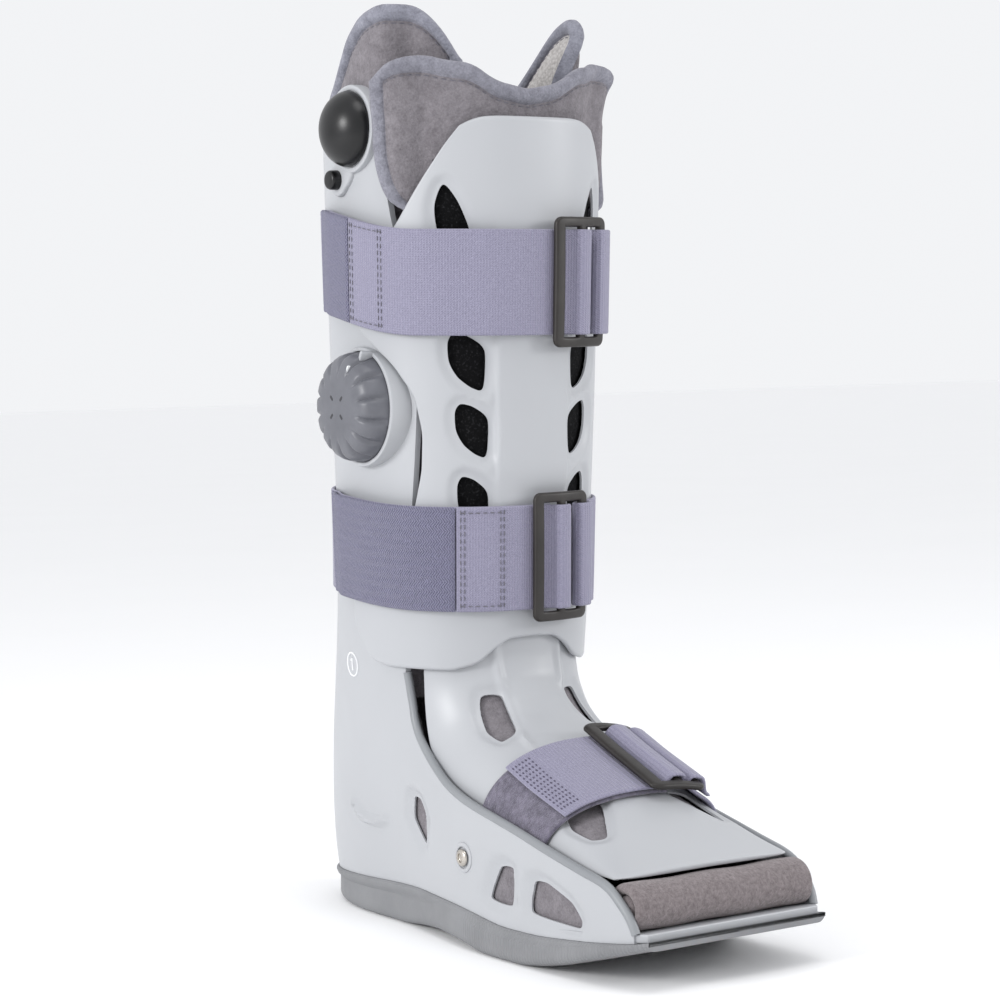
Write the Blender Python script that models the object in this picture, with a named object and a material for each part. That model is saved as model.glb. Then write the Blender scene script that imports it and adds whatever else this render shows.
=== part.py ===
"""A tall walking boot: moulded shell, rocker sole, felt lining, three straps and its air controls.

The boot is drawn with its leg upright. The toe points to -Y, the controls sit on the -X side.
At the end every point is turned about X, so the tread lies on the ground and the leg leans forward.
"""
import math

import bmesh
import bpy
import numpy as np

for old in list(bpy.data.objects):
    bpy.data.objects.remove(old, do_unlink=True)

# Whole boot, in metres
SHANK_LEAN = math.radians(3.0)
CUFF_HEIGHT = 0.4065
LEG_HALF_WIDTH = 0.062
LEG_BACK = 0.070
LEG_FRONT = 0.061
LEG_SQUARENESS = 2.35
FOOT_REACH = 0.219
FOOT_HALF_WIDTH = 0.0545
SHELL_WALL = 0.003
SEAT_GAP = 0.0004
LINING_GAP = 0.0009

# Outsole and tray
SOLE_HEIGHT = 0.0235
TOE_SPRING = 0.019
TRAY_FLOOR = 0.004
FLOOR_RECESS = 0.0008
SOLE_EDGE = 0.0015
SOLE_ROUND = 0.004

# Shell openings
WALL_NOTCH = 0.1265
FOOT_BLEND_LOW = 0.091
FOOT_BLEND_HIGH = 0.126

# Shin panel
PANEL_WALL = 0.003
PANEL_GAP = 0.0008
PANEL_TOP = 0.3925
PANEL_HEM = 0.145
PANEL_WRAP = math.radians(98)
PLATEAU_RISE = 0.0016
PLATEAU_HALF = math.radians(17)

# Foot panel
INSTEP_RISE = 0.170
INSTEP_ROUND = 2.35

# Soft pieces
CELL_WALL = 0.0016
FELT_WALL = 0.007
EAR_TOP = 0.4465
PAD_WALL = 0.0065
PAD_TOP = 0.428
PAD_FLARE = 0.006
FOOT_FELT = 0.006
INSOLE_WALL = 0.006
ROLL_RADIUS = 0.0100
ROLL_FELT = 0.0044

# Straps and buckles
WEB_WALL = 0.0018
STRAP_GAP = 0.0006
WEB_WIDTH = 0.050
UPPER_STRAP_RISE = 0.010
LOWER_STRAP_RISE = 0.003
UPPER_STRAP_HEIGHT = 0.3145
LOWER_STRAP_HEIGHT = 0.1835
FOOT_STRAP_WIDTH = 0.050
BUCKLE_LENGTH = 0.062
BUCKLE_WALL = 0.003
BUCKLE_BAR = 0.0049

# Controls
DIAL_HEIGHT = 0.2545
DIAL_BACK = -0.007
DIAL_RADIUS = 0.0265
DIAL_DEPTH = 0.0155
DIAL_FACE = 0.018
DIAL_LOBES = 14
SPINDLE_RADIUS = 0.004
SPINDLE_PLAY = 0.0003
BULB_HEIGHT = 0.3875
BULB_BACK = 0.0
BULB_RADIUS = 0.0183
BULB_DEPTH = 0.0135
BUTTON_HEIGHT = 0.3635
BUTTON_BACK = 0.012
BUTTON_RADIUS = 0.0048
BUTTON_TRAVEL = 0.002
BOSS_PROUD = 0.0012
BOSS_RIM = 0.0016
BOLT_RADIUS = 0.0042
BOLT_HEIGHT = 0.047
BOLT_REACH = 0.381

# Leg sections: height over CUFF_HEIGHT, then half width, back and front over their leg sizes
LEG_SECTIONS = [
    (0.00, 0.720, 1.130, 0.985),
    (0.03, 0.745, 1.200, 0.985),
    (0.10, 0.775, 1.250, 0.985),
    (0.20, 0.785, 1.235, 0.985),
    (0.30, 0.830, 1.100, 0.985),
    (0.39, 0.885, 0.960, 0.985),
    (0.49, 0.915, 0.915, 0.985),
    (0.63, 0.960, 0.930, 0.985),
    (0.78, 0.980, 0.975, 1.000),
    (0.93, 0.995, 1.020, 1.015),
    (1.01, 1.005, 1.035, 1.020),
    (1.10, 1.020, 1.060, 1.030),
]

# Foot plan: reach over FOOT_REACH, half width over FOOT_HALF_WIDTH
FOOT_PLAN = [
    (0.00, 0.895),
    (0.10, 0.895),
    (0.20, 0.920),
    (0.37, 0.975),
    (0.52, 1.000),
    (0.70, 1.000),
    (0.83, 0.990),
    (0.93, 0.970),
    (0.97, 0.945),
    (1.00, 0.880),
]

# Joint of shell and sole: reach over FOOT_REACH, height over SOLE_HEIGHT
SOLE_JOINT = [
    (-0.41, 0.46),
    (-0.15, 0.72),
    (0.00, 0.85),
    (0.18, 1.00),
    (0.36, 0.99),
    (0.53, 0.90),
    (0.66, 0.97),
    (0.83, 1.18),
    (0.95, 1.37),
    (1.00, 1.45),
]

# Tread: reach over FOOT_REACH, lift off the ground over TOE_SPRING, edge bulge over SOLE_EDGE
TREAD = [
    (-0.410, 0.30, -1.6),
    (-0.350, 0.06, -1.6),
    (-0.310, 0.00, -1.6),
    (0.088, 0.00, -1.6),
    (0.170, 0.12, -1.3),
    (0.250, 0.19, -0.6),
    (0.370, 0.15, 0.8),
    (0.460, 0.00, 1.4),
    (0.615, 0.00, 1.4),
    (0.690, 0.12, 1.2),
    (0.760, 0.28, 0.9),
    (0.890, 0.66, 0.4),
    (1.000, 1.00, 0.0),
]

# Front edge of the shell, toe to ankle: reach over FOOT_REACH, height over WALL_NOTCH
WALL_EDGE = [
    (0.968, 0.290),
    (0.954, 0.344),
    (0.912, 0.407),
    (0.876, 0.439),
    (0.788, 0.462),
    (0.661, 0.502),
    (0.539, 0.542),
    (0.396, 0.573),
    (0.300, 0.613),
    (0.242, 0.668),
    (0.203, 0.715),
    (0.147, 0.794),
    (0.124, 0.913),
    (0.115, 1.000),
]

# Cuff edge, ankle to back: back over LEG_BACK, height over CUFF_HEIGHT
CUFF_EDGE = [
    (-0.40, 0.370),
    (-0.54, 0.600),
    (-0.55, 0.700),
    (-0.50, 0.780),
    (-0.36, 0.860),
    (-0.33, 0.930),
    (-0.30, 0.965),
    (-0.22, 0.985),
    (-0.08, 1.000),
    (0.12, 0.996),
    (0.35, 0.978),
    (0.60, 0.962),
    (1.60, 0.956),
]

# Shin panel side edge: height over PANEL_TOP, wrap over PANEL_WRAP
PANEL_SIDE = [
    (0.330, 0.98),
    (0.400, 1.00),
    (0.440, 0.94),
    (0.480, 0.66),
    (0.510, 0.56),
    (0.573, 0.51),
    (0.620, 0.505),
    (0.665, 0.54),
    (0.704, 0.65),
    (0.746, 0.86),
    (0.775, 0.90),
    (0.830, 0.74),
    (0.870, 0.62),
    (0.920, 0.51),
    (0.968, 0.40),
    (1.000, 0.31),
]

# Shin panel hem: share of the wrap, height over PANEL_HEM
PANEL_HEM_LINE = [
    (0.00, 1.000),
    (0.12, 0.995),
    (0.19, 0.965),
    (0.27, 0.915),
    (0.38, 0.893),
    (0.75, 0.890),
    (0.88, 0.905),
    (0.96, 0.960),
    (1.00, 1.040),
]

# Shin vents: centre height over PANEL_TOP, half height over PANEL_TOP, inner and outer wrap in degrees
SHIN_VENTS = [
    ("tall", 0.873, 0.050, 28.5, 44.5),
    ("leaf", 0.705, 0.0362, 22.4, 39.0),
    ("leaf", 0.622, 0.034, 21.0, 36.0),
    ("leaf", 0.530, 0.038, 21.0, 35.0),
]

# Vent outlines: share from the inner to the outer edge, share of the half height
VENT_OUTLINES = {
    "leaf": [(0.05, -1.0), (0.0, 0.35), (0.15, 0.62), (0.5, 0.9), (0.85, 1.0), (1.0, 0.7),
             (0.97, 0.0), (0.75, -0.5), (0.4, -0.85)],
    "tall": [(0.0, -1.0), (0.0, -0.3), (0.35, 0.5), (0.75, 1.0), (1.0, 0.4), (0.9, -0.3), (0.5, -1.0)],
}

# Instep line, shin to toe: reach over FOOT_REACH, height over INSTEP_RISE, half width and depth of the
# dome over FOOT_HALF_WIDTH, wrap of the dome over a quarter turn
INSTEP = [
    (0.266, 1.000, 0.975, 1.050, 0.64),
    (0.267, 0.882, 0.955, 1.050, 0.64),
    (0.272, 0.800, 0.930, 1.060, 0.66),
    (0.284, 0.740, 0.900, 1.000, 0.72),
    (0.312, 0.682, 0.870, 0.860, 0.86),
    (0.345, 0.647, 0.860, 0.720, 1.00),
    (0.405, 0.605, 0.870, 0.620, 1.00),
    (0.553, 0.532, 0.880, 0.560, 1.00),
    (0.705, 0.465, 0.885, 0.430, 1.00),
    (0.829, 0.402, 0.890, 0.240, 1.00),
    (0.900, 0.366, 0.880, 0.110, 1.00),
    (0.925, 0.354, 0.870, 0.080, 1.00),
]

# Foot vents: corners as reach over FOOT_REACH and turn of the dome over a quarter turn
FOOT_VENTS = {
    "rear": [(0.300, 0.20), (0.295, 0.36), (0.345, 0.46), (0.385, 0.42), (0.378, 0.26)],
    "toe": [(0.655, 0.20), (0.645, 0.52), (0.700, 0.62), (0.760, 0.58), (0.775, 0.44)],
}

# Shell windows: reach over FOOT_REACH, height over WALL_NOTCH
WINDOWS = {
    "ankle": [(0.142, 0.530), (0.138, 0.440), (0.198, 0.350), (0.196, 0.470), (0.170, 0.525)],
    "arch": [(0.516, 0.385), (0.565, 0.395), (0.565, 0.245), (0.470, 0.245)],
    "toe": [(0.640, 0.372), (0.685, 0.378), (0.770, 0.335), (0.805, 0.280), (0.800, 0.250), (0.622, 0.245)],
}

MATERIALS = {
    "shell_plastic": ((0.80, 0.82, 0.84, 1.0), 0.38, 0.0),
    "sole_rubber": ((0.33, 0.33, 0.34, 1.0), 0.62, 0.0),
    "felt": ((0.50, 0.48, 0.49, 1.0), 0.95, 0.0),
    "foam": ((0.012, 0.011, 0.012, 1.0), 0.85, 0.0),
    "webbing": ((0.36, 0.34, 0.44, 1.0), 0.70, 0.0),
    "hook_tape": ((0.25, 0.24, 0.37, 1.0), 0.80, 0.0),
    "loop_cloth": ((0.20, 0.18, 0.25, 1.0), 0.95, 0.0),
    "buckle_plastic": ((0.07, 0.06, 0.055, 1.0), 0.42, 0.0),
    "dial_plastic": ((0.24, 0.24, 0.25, 1.0), 0.42, 0.0),
    "bulb_rubber": ((0.010, 0.010, 0.011, 1.0), 0.30, 0.0),
    "steel": ((0.62, 0.58, 0.52, 1.0), 0.30, 1.0),
}


def paint(slot):
    material = bpy.data.materials.get(slot) or bpy.data.materials.new(slot)
    material.use_nodes = True
    shader = material.node_tree.nodes["Principled BSDF"]
    colour, roughness, metallic = MATERIALS[slot]
    shader.inputs["Base Color"].default_value = colour
    shader.inputs["Roughness"].default_value = roughness
    shader.inputs["Metallic"].default_value = metallic
    return material


def ease(value, low, high):
    share = min(max((value - low) / (high - low), 0.0), 1.0)
    return share * share * (3.0 - 2.0 * share)


def column(table, place, index, key=0):
    return float(np.interp(place, [row[key] for row in table], [row[index] for row in table]))


def leaned(point):
    """The upright drawing turned so that the tread lies on the ground."""
    x, y, z = point
    c, s = math.cos(SHANK_LEAN), math.sin(SHANK_LEAN)
    return (x, y * c - z * s, y * s + z * c)


def solid(name, points, faces, slot, smooth_angle=40.0):
    """One closed mesh object from points and faces, with its faces turned outwards."""
    mesh = bpy.data.meshes.new(name)
    mesh.from_pydata([leaned(p) for p in points], [], faces)
    mesh.validate()
    work = bmesh.new()
    work.from_mesh(mesh)
    bmesh.ops.remove_doubles(work, verts=work.verts, dist=0.000001)
    bmesh.ops.recalc_face_normals(work, faces=work.faces)
    work.to_mesh(mesh)
    work.free()
    mesh.shade_smooth()
    mesh.set_sharp_from_angle(angle=math.radians(smooth_angle))
    mesh.materials.append(paint(slot))
    thing = bpy.data.objects.new(name, mesh)
    bpy.context.scene.collection.objects.link(thing)
    return thing


def wall(name, outer, inner, slot, ring=False):
    """A closed wall between two grids of points that have the same rows and columns."""
    rows, cols = len(outer), len(outer[0])
    shift = rows * cols
    points = [p for row in outer for p in row] + [p for row in inner for p in row]
    faces = []
    last = cols if ring else cols - 1
    for i in range(rows - 1):
        for j in range(last):
            a, b = i * cols + j, i * cols + (j + 1) % cols
            c, d = b + cols, a + cols
            faces.append((a, b, c, d))
            faces.append((d + shift, c + shift, b + shift, a + shift))
    for j in range(last):
        a, b = j, (j + 1) % cols
        faces.append((a + shift, b + shift, b, a))
        c, d = a + (rows - 1) * cols, b + (rows - 1) * cols
        faces.append((c, d, d + shift, c + shift))
    if not ring:
        for i in range(rows - 1):
            a, b = i * cols, (i + 1) * cols
            faces.append((a, b, b + shift, a + shift))
            c, d = a + cols - 1, b + cols - 1
            faces.append((c + shift, d + shift, d, c))
    return solid(name, points, faces, slot)


def loft(name, sections, slot):
    """A closed body through sections, each a ring of points in the same order."""
    count = len(sections[0])
    points = [p for section in sections for p in section]
    faces = [tuple(range(count))[::-1]]
    for i in range(len(sections) - 1):
        for j in range(count):
            a, b = i * count + j, i * count + (j + 1) % count
            faces.append((a, b, b + count, a + count))
    top = (len(sections) - 1) * count
    faces.append(tuple(range(top, top + count)))
    return solid(name, points, faces, slot)


def turned(name, centre, profile, slot, sides=24, lobes=0, lobe_depth=0.0, lobe_from=0.0):
    """A body turned about a line along -X: profile rows are (reach outwards, radius)."""
    sections = []
    for out, radius in profile:
        ring = []
        for k in range(sides):
            angle = 2.0 * math.pi * k / sides
            r = radius
            if lobes and out > lobe_from:
                r *= 1.0 - lobe_depth * (0.5 - 0.5 * math.cos(lobes * angle))
            y = centre[1] + r * math.cos(angle)
            z = centre[2] + r * math.sin(angle)
            ring.append((centre[0] - out, y, z))
        sections.append(ring)
    return loft(name, sections, slot)


def split_faces(thing):
    """Splits bent faces into triangles, so that a cut through them stays exact."""
    work = bmesh.new()
    work.from_mesh(thing.data)
    bmesh.ops.triangulate(work, faces=work.faces)
    work.to_mesh(thing.data)
    work.free()
    return thing


def join(body, other, operation):
    """Cuts, joins or crosses a body with a helper body that the finished boot leaves out."""
    step = body.modifiers.new(other.name, "BOOLEAN")
    step.operation = operation
    step.solver = "EXACT"
    step.object = other
    other.hide_render = True
    other.display_type = "WIRE"


def leg_sizes(z):
    share = z / CUFF_HEIGHT
    half = column(LEG_SECTIONS, share, 1) * LEG_HALF_WIDTH
    back = column(LEG_SECTIONS, share, 2) * LEG_BACK
    front = column(LEG_SECTIONS, share, 3) * LEG_FRONT
    return half, back, front


def leg_point(turn, z, proud=0.0):
    """A point on the shell round the leg: turn is 0 at the shin and 180 degrees at the calf."""
    half, back, front = leg_sizes(z)
    depth = front if math.cos(turn) > 0.0 else back
    n = LEG_SQUARENESS
    across = (abs(math.sin(turn)) / half) ** n + (abs(math.cos(turn)) / depth) ** n
    reach = across ** (-1.0 / n) + proud
    return (reach * math.sin(turn), -reach * math.cos(turn), z)


def heel_half_width(y, z, inset=0.0):
    half, back, _ = leg_sizes(z)
    n = LEG_SQUARENESS
    share = min(max(y / (back - inset), 0.0), 1.0)
    return (half - inset) * (1.0 - share ** n) ** (1.0 / n)


def side_half_width(y, z):
    """Half width of the shell ahead of the leg's axis, foot plan below and leg section above."""
    half, _, front = leg_sizes(z)
    n = LEG_SQUARENESS
    leg = half * (1.0 - min(-y / front, 0.9) ** n) ** (1.0 / n)
    foot = column(FOOT_PLAN, -y / FOOT_REACH, 1) * FOOT_HALF_WIDTH
    start = leg_sizes(z)[0] / (FOOT_HALF_WIDTH * FOOT_PLAN[0][1])
    foot *= 1.0 + (start - 1.0) * (1.0 - ease(-y, 0.0, 0.25 * FOOT_REACH))
    mix = ease(z, FOOT_BLEND_LOW, FOOT_BLEND_HIGH)
    return foot + (leg - foot) * mix


def joint_height(y):
    return column(SOLE_JOINT, -y / FOOT_REACH, 1) * SOLE_HEIGHT


def tread_height(y):
    lift = column(TREAD, -y / FOOT_REACH, 1) * TOE_SPRING
    return lift - y * math.tan(SHANK_LEAN)


def edge_reach(z):
    """How far forward the shell's side wall goes at a height."""
    if z > WALL_NOTCH:
        share = z / CUFF_HEIGHT
        line = CUFF_EDGE[:6]
        return column([(row[1], -row[0]) for row in line], share, 1) * LEG_BACK
    line = [(row[1], row[0]) for row in WALL_EDGE]
    return column(line, z / WALL_NOTCH, 1) * FOOT_REACH


def shell_outline(z, inset, reach, round_steps=7, side_steps=8):
    """The shell's U outline at a height: toe on the -X side, round the heel, toe on the +X side."""
    half, back, _ = leg_sizes(z)
    side = []
    for k in range(side_steps):
        y = -reach * (1.0 - k / side_steps)
        side.append((side_half_width(y, z) - inset, y))
    for k in range(round_steps + 1):
        angle = 0.5 * math.pi * k / round_steps
        x = (half - inset) * math.cos(angle) ** (2.0 / LEG_SQUARENESS)
        y = (back - inset) * math.sin(angle) ** (2.0 / LEG_SQUARENESS)
        side.append((x, y))
    left = [(-x, y, z) for x, y in side]
    right = [(x, y, z) for x, y in side[:-1]]
    return left + right[::-1]


def side_prism(name, outline, half_width=0.12):
    """A plate of a side outline, given as (y, z), that reaches across the whole boot."""
    left = [(-half_width, y, z) for y, z in outline]
    right = [(half_width, y, z) for y, z in outline]
    return loft(name, [left, right], "shell_plastic")


# Shell: U wall, trimmed to its side outline, with the tray floor and the bosses joined on
SHELL_ROWS = [0.0, 0.03, 0.1, 0.12, 0.14, 0.16, 0.18, 0.2, 0.24, 0.3, 0.39, 0.49, 0.63, 0.78,
              0.86, 0.93, 1.01]
EDGE_SPARE = 0.012


def make_shell():
    outer, inner = [], []
    for share in SHELL_ROWS:
        z = share * CUFF_HEIGHT
        reach = edge_reach(z) + EDGE_SPARE
        outer.append(shell_outline(z, 0.0, reach))
        inner.append(shell_outline(z, SHELL_WALL, reach))
    shell = wall("rear_shell", outer, inner, "shell_plastic")
    outline = [(-reach * FOOT_REACH, z * WALL_NOTCH) for reach, z in WALL_EDGE]
    outline += [(y * LEG_BACK, z * CUFF_HEIGHT) for y, z in CUFF_EDGE]
    heel = -SOLE_JOINT[0][0] * FOOT_REACH
    outline.append((CUFF_EDGE[-1][0] * LEG_BACK, joint_height(heel)))
    stations = 12
    for k in range(stations + 1):
        y = heel - (heel + 0.97 * FOOT_REACH) * k / stations
        outline.append((y, joint_height(y)))
    join(shell, side_prism("shell_outline", outline), "INTERSECT")
    join(shell, make_floor(), "UNION")
    return shell


def plan_half_width(y, inset):
    z = joint_height(y)
    if y > 0.0:
        return heel_half_width(y, z, inset)
    return side_half_width(y, z) - inset


def plan_stations(inset, heel_steps=7, foot_steps=15):
    """Stations from the heel's last point to the toe's, close together where the plan turns."""
    back = leg_sizes(joint_height(LEG_BACK))[1] - inset
    heel = [back * math.cos(0.5 * math.pi * (k + 0.35) / heel_steps) for k in range(heel_steps)]
    front = FOOT_REACH - inset
    foot = [-front * (k / foot_steps) ** 0.9 for k in range(foot_steps + 1)]
    return heel + foot


def make_floor():
    inset = 0.4 * SHELL_WALL
    sections = []
    for y in plan_stations(inset):
        half = plan_half_width(y, inset)
        low, high = joint_height(y) + FLOOR_RECESS, joint_height(y) + TRAY_FLOOR
        sections.append([(-half, y, low), (half, y, low), (half, y, high), (-half, y, high)])
    return loft("tray_floor", sections, "shell_plastic")


def make_outsole():
    sections = []
    for y in plan_stations(-SOLE_EDGE):
        top = joint_height(y) - SEAT_GAP
        low = tread_height(y)
        half = plan_half_width(y, -SOLE_EDGE)
        bulge = column(TREAD, -y / FOOT_REACH, 2) * SOLE_EDGE
        mid = low + 0.45 * (top - low)
        ring = [(half, top), (half, top - 0.3 * (top - low)), (half + bulge, mid)]
        ring += [(half + bulge - 0.3 * SOLE_ROUND, low + 0.3 * SOLE_ROUND)]
        ring += [(max(half + bulge - SOLE_ROUND, 0.3 * half), low)]
        left = [(-x, y, z) for x, z in ring]
        right = [(x, y, z) for x, z in ring]
        sections.append(left + right[::-1])
    return loft("outsole", sections, "sole_rubber")



# Shin panel: a bowed plate over the front of the shell, with soft vents
def panel_turn(z):
    return column(PANEL_SIDE, z / PANEL_TOP, 1) * PANEL_WRAP


def panel_place(across, up):
    """Turn and height on the shin panel for shares of its wrap and of its height."""
    hem = column(PANEL_HEM_LINE, abs(across), 1) * PANEL_HEM
    crown = PANEL_TOP * (1.0 - 0.012 * abs(across) ** 8)
    z = hem + (crown - hem) * up
    return across * panel_turn(z), z


def panel_proud(turn, z):
    """How far the shin panel's back stands off the shell: its middle is a raised flat."""
    middle = 1.0 - ease(abs(turn), PLATEAU_HALF, 1.35 * PLATEAU_HALF)
    return PANEL_GAP + PLATEAU_RISE * middle * ease(z, 0.54 * PANEL_TOP, 0.60 * PANEL_TOP)


PANEL_COLUMNS = [-1.0, -0.9, -0.76, -0.62, -0.5, -0.37, -0.25, -0.14]
PANEL_ROWS = [0.0, 0.07, 0.14, 0.19, 0.235, 0.28, 0.35, 0.42, 0.49, 0.55, 0.61, 0.67, 0.745, 0.82, 0.91,
              1.0]


def vent_cutter(name, outline, low, high, point):
    """A prism through a wall: outline pairs go to point(first, second, proud)."""
    inside = [point(a, b, low) for a, b in outline]
    outside = [point(a, b, high) for a, b in outline]
    return split_faces(loft(name, [inside, outside], "shell_plastic"))


def make_front_panel():
    columns = PANEL_COLUMNS + [0.0] + [-c for c in PANEL_COLUMNS[::-1]]
    outer, inner = [], []
    for up in PANEL_ROWS:
        places = [panel_place(across, up) for across in columns]
        outer.append([leg_point(t, z, panel_proud(t, z) + PANEL_WALL) for t, z in places])
        inner.append([leg_point(t, z, panel_proud(t, z)) for t, z in places])
    panel = split_faces(wall("front_panel", outer, inner, "shell_plastic"))
    for row, (shape, centre, half, near, far) in enumerate(SHIN_VENTS):
        for side in (-1, 1):
            outline = []
            for across, up in VENT_OUTLINES[shape]:
                turn = side * math.radians(near + (far - near) * across)
                outline.append((turn, PANEL_TOP * (centre + half * up)))
            name = "shin_vent_%d_%s" % (row + 1, "left" if side < 0 else "right")
            join(panel, vent_cutter(name, outline, -0.004, 0.010, leg_point), "DIFFERENCE")
    return panel


# Felt lining of the leg, the pad inside the shin panel and the foam cell between
CELL_FOOT = INSTEP_RISE + 0.004
CELL_TOP = 0.372
CELL_WRAP = 45.0
FELT_BACK = SHELL_WALL + LINING_GAP

# Lining top edge: turn in degrees, height over EAR_TOP
EAR_LINE = [
    (32, 0.945),
    (37, 0.968),
    (44, 0.986),
    (56, 0.998),
    (70, 1.000),
    (84, 0.994),
    (98, 0.972),
    (109, 0.944),
    (118, 0.922),
    (130, 0.909),
    (154, 0.905),
    (180, 0.905),
]
# Ear flare: height over EAR_TOP, lean outwards over FELT_WALL
EAR_FLARE = [(0.0, 0.0), (0.925, 0.0), (0.96, 0.25), (1.0, 0.55)]
LINER_FOOT = 0.1125
LINER_SPLIT = 0.78 * CUFF_HEIGHT
TUCK = PAD_WALL + CELL_WALL + 2.0 * LINING_GAP


def liner_proud(degrees, z):
    """The lining's outer face: inside the shell, and tucked inside the pad in front."""
    turn = min(degrees, 360.0 - degrees)
    tucked = 1.0 - ease(turn, 58.0, 72.0)
    return -FELT_BACK + column(EAR_FLARE, z / EAR_TOP, 1) * FELT_WALL - TUCK * tucked


def make_leg_liner():
    turns = [row[0] for row in EAR_LINE]
    turns += [360 - t for t in turns[-2::-1]]
    lower = [LINER_FOOT] + [row[0] * CUFF_HEIGHT for row in LEG_SECTIONS if LINER_FOOT < row[0] * CUFF_HEIGHT < LINER_SPLIT]
    rows = [(z, 0.0) for z in lower] + [(LINER_SPLIT, up) for up in (0.0, 0.5, 0.82, 0.96, 1.0)]
    outer, inner = [], []
    for base, up in rows:
        outside, inside = [], []
        for degrees in turns:
            top = column(EAR_LINE, min(degrees, 360 - degrees), 1) * EAR_TOP
            z = base + (top - base) * up
            rim = 0.18 * FELT_WALL * (up == 1.0)
            proud = liner_proud(degrees, z)
            outside.append(leg_point(math.radians(degrees), z, proud - rim))
            inside.append(leg_point(math.radians(degrees), z, proud - FELT_WALL + rim))
        outer.append(outside)
        inner.append(inside)
    return wall("leg_liner", outer, inner, "felt")


def make_air_cell():
    turns = [math.radians(CELL_WRAP * k / 4) for k in range(-4, 5)]
    outer, inner = [], []
    steps = 5
    for k in range(steps + 1):
        z = CELL_FOOT + (CELL_TOP - CELL_FOOT) * k / steps
        outer.append([leg_point(t, z, -SEAT_GAP) for t in turns])
        inner.append([leg_point(t, z, -SEAT_GAP - CELL_WALL) for t in turns])
    return wall("air_cell", outer, inner, "foam")


# Front pad: half wrap in degrees by height over PAD_TOP, and its crown by share of the wrap
PAD_SIDE = [
    (0.36, 47),
    (0.80, 47),
    (0.825, 54),
    (0.85, 62),
    (0.88, 68),
    (0.93, 70),
    (0.97, 68),
    (1.00, 63),
]
PAD_CROWN = [(0.0, 0.948), (0.26, 0.956), (0.42, 0.975), (0.56, 0.990), (0.74, 1.0), (0.9, 0.985), (1.0, 0.945)]


def pad_proud(turn, z):
    """The pad lies inside the panel below, and its lobes pass outside the shell above."""
    lobe = ease(abs(turn), math.radians(48), math.radians(62))
    inside = -SEAT_GAP - CELL_WALL - LINING_GAP
    flare = PAD_FLARE * ease(z, PANEL_TOP, PAD_TOP)
    return inside + (LINING_GAP - inside + PAD_WALL) * lobe + flare


def make_front_pad():
    shares = [-1.0, -0.96, -0.87, -0.77, -0.67, -0.52, -0.35, -0.18]
    shares += [0.0] + [-s for s in shares[::-1]]
    rows = [0.0, 0.3, 0.6, 0.7, 0.75, 0.8, 0.86, 0.92, 0.975, 1.0]
    low = INSTEP_RISE + 0.004
    outer, inner = [], []
    for up in rows:
        outside, inside = [], []
        for across in shares:
            crown = column(PAD_CROWN, abs(across), 1) * PAD_TOP
            z = low + (crown - low) * up
            turn = across * math.radians(column(PAD_SIDE, z / PAD_TOP, 1))
            rim = 0.2 * PAD_WALL * max(ease(up, 0.97, 1.0), ease(abs(across), 0.95, 1.0))
            proud = pad_proud(turn, z)
            outside.append(leg_point(turn, z, proud - rim))
            inside.append(leg_point(turn, z, proud - PAD_WALL + rim))
        outer.append(outside)
        inner.append(inside)
    return wall("front_pad", outer, inner, "felt")


# Foot panel, its felt flap and the straps across it, all laid along the instep line
def instep_lengths():
    lengths = [0.0]
    for a, b in zip(INSTEP, INSTEP[1:]):
        lengths.append(lengths[-1] + math.hypot((b[0] - a[0]) * FOOT_REACH, (b[1] - a[1]) * INSTEP_RISE))
    return [length / lengths[-1] for length in lengths]


INSTEP_SHARES = instep_lengths()


def instep_along(reach):
    """Share of the instep line's length at a reach over FOOT_REACH."""
    return float(np.interp(reach, [row[0] for row in INSTEP], INSTEP_SHARES))


def instep_value(along, index):
    return float(np.interp(along, INSTEP_SHARES, [row[index] for row in INSTEP]))


def foot_point(along, turn, proud=0.0):
    """A point on the foot panel's dome: along is 0 at the shin and 1 at the toe, turn is 0 on top."""
    step = 0.03
    a, b = max(along - step, 0.0), min(along + step, 1.0)
    dy = -(instep_value(b, 0) - instep_value(a, 0)) * FOOT_REACH
    dz = (instep_value(b, 1) - instep_value(a, 1)) * INSTEP_RISE
    size = math.hypot(dy, dz)
    up_y, up_z = dz / size, -dy / size
    y = -instep_value(along, 0) * FOOT_REACH
    z = instep_value(along, 1) * INSTEP_RISE
    half = instep_value(along, 2) * FOOT_HALF_WIDTH
    depth = instep_value(along, 3) * FOOT_HALF_WIDTH
    n = 2.0 / INSTEP_ROUND
    x = math.copysign((half + proud) * abs(math.sin(turn)) ** n, turn)
    rise = (depth + proud) * max(math.cos(turn), 0.0) ** n - depth
    return (x, y + up_y * rise, z + up_z * rise)


def dome_wall(name, turns, high, low, slot, end=1.0, trim=1.0, arch_size=0.034):
    alongs = [share for share in INSTEP_SHARES if share < end] + [end]
    outer, inner = [], []
    for along in alongs:
        wrap = 0.5 * math.pi * instep_value(along, 4) * trim
        arch = arch_size * ease(along, 0.9, 1.0)
        stations = [along - arch * abs(t) ** 3 for t in turns]
        outer.append([foot_point(a, t * wrap, high) for a, t in zip(stations, turns)])
        inner.append([foot_point(a, t * wrap, low) for a, t in zip(stations, turns)])
    return wall(name, outer, inner, slot)


def make_foot_panel():
    turns = [-1.0, -0.85, -0.68, -0.5, -0.32, -0.15, 0.0, 0.15, 0.32, 0.5, 0.68, 0.85, 1.0]
    panel = dome_wall("foot_panel", turns, 0.0, -PANEL_WALL, "shell_plastic")
    for name, outline in FOOT_VENTS.items():
        for side in (-1, 1):
            corners = [(instep_along(reach), side * turn * 0.5 * math.pi) for reach, turn in outline]
            cutter = "foot_vent_%s_%s" % (name, "left" if side < 0 else "right")
            join(panel, vent_cutter(cutter, corners, -0.009, 0.006, foot_point), "DIFFERENCE")
    return panel


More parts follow.
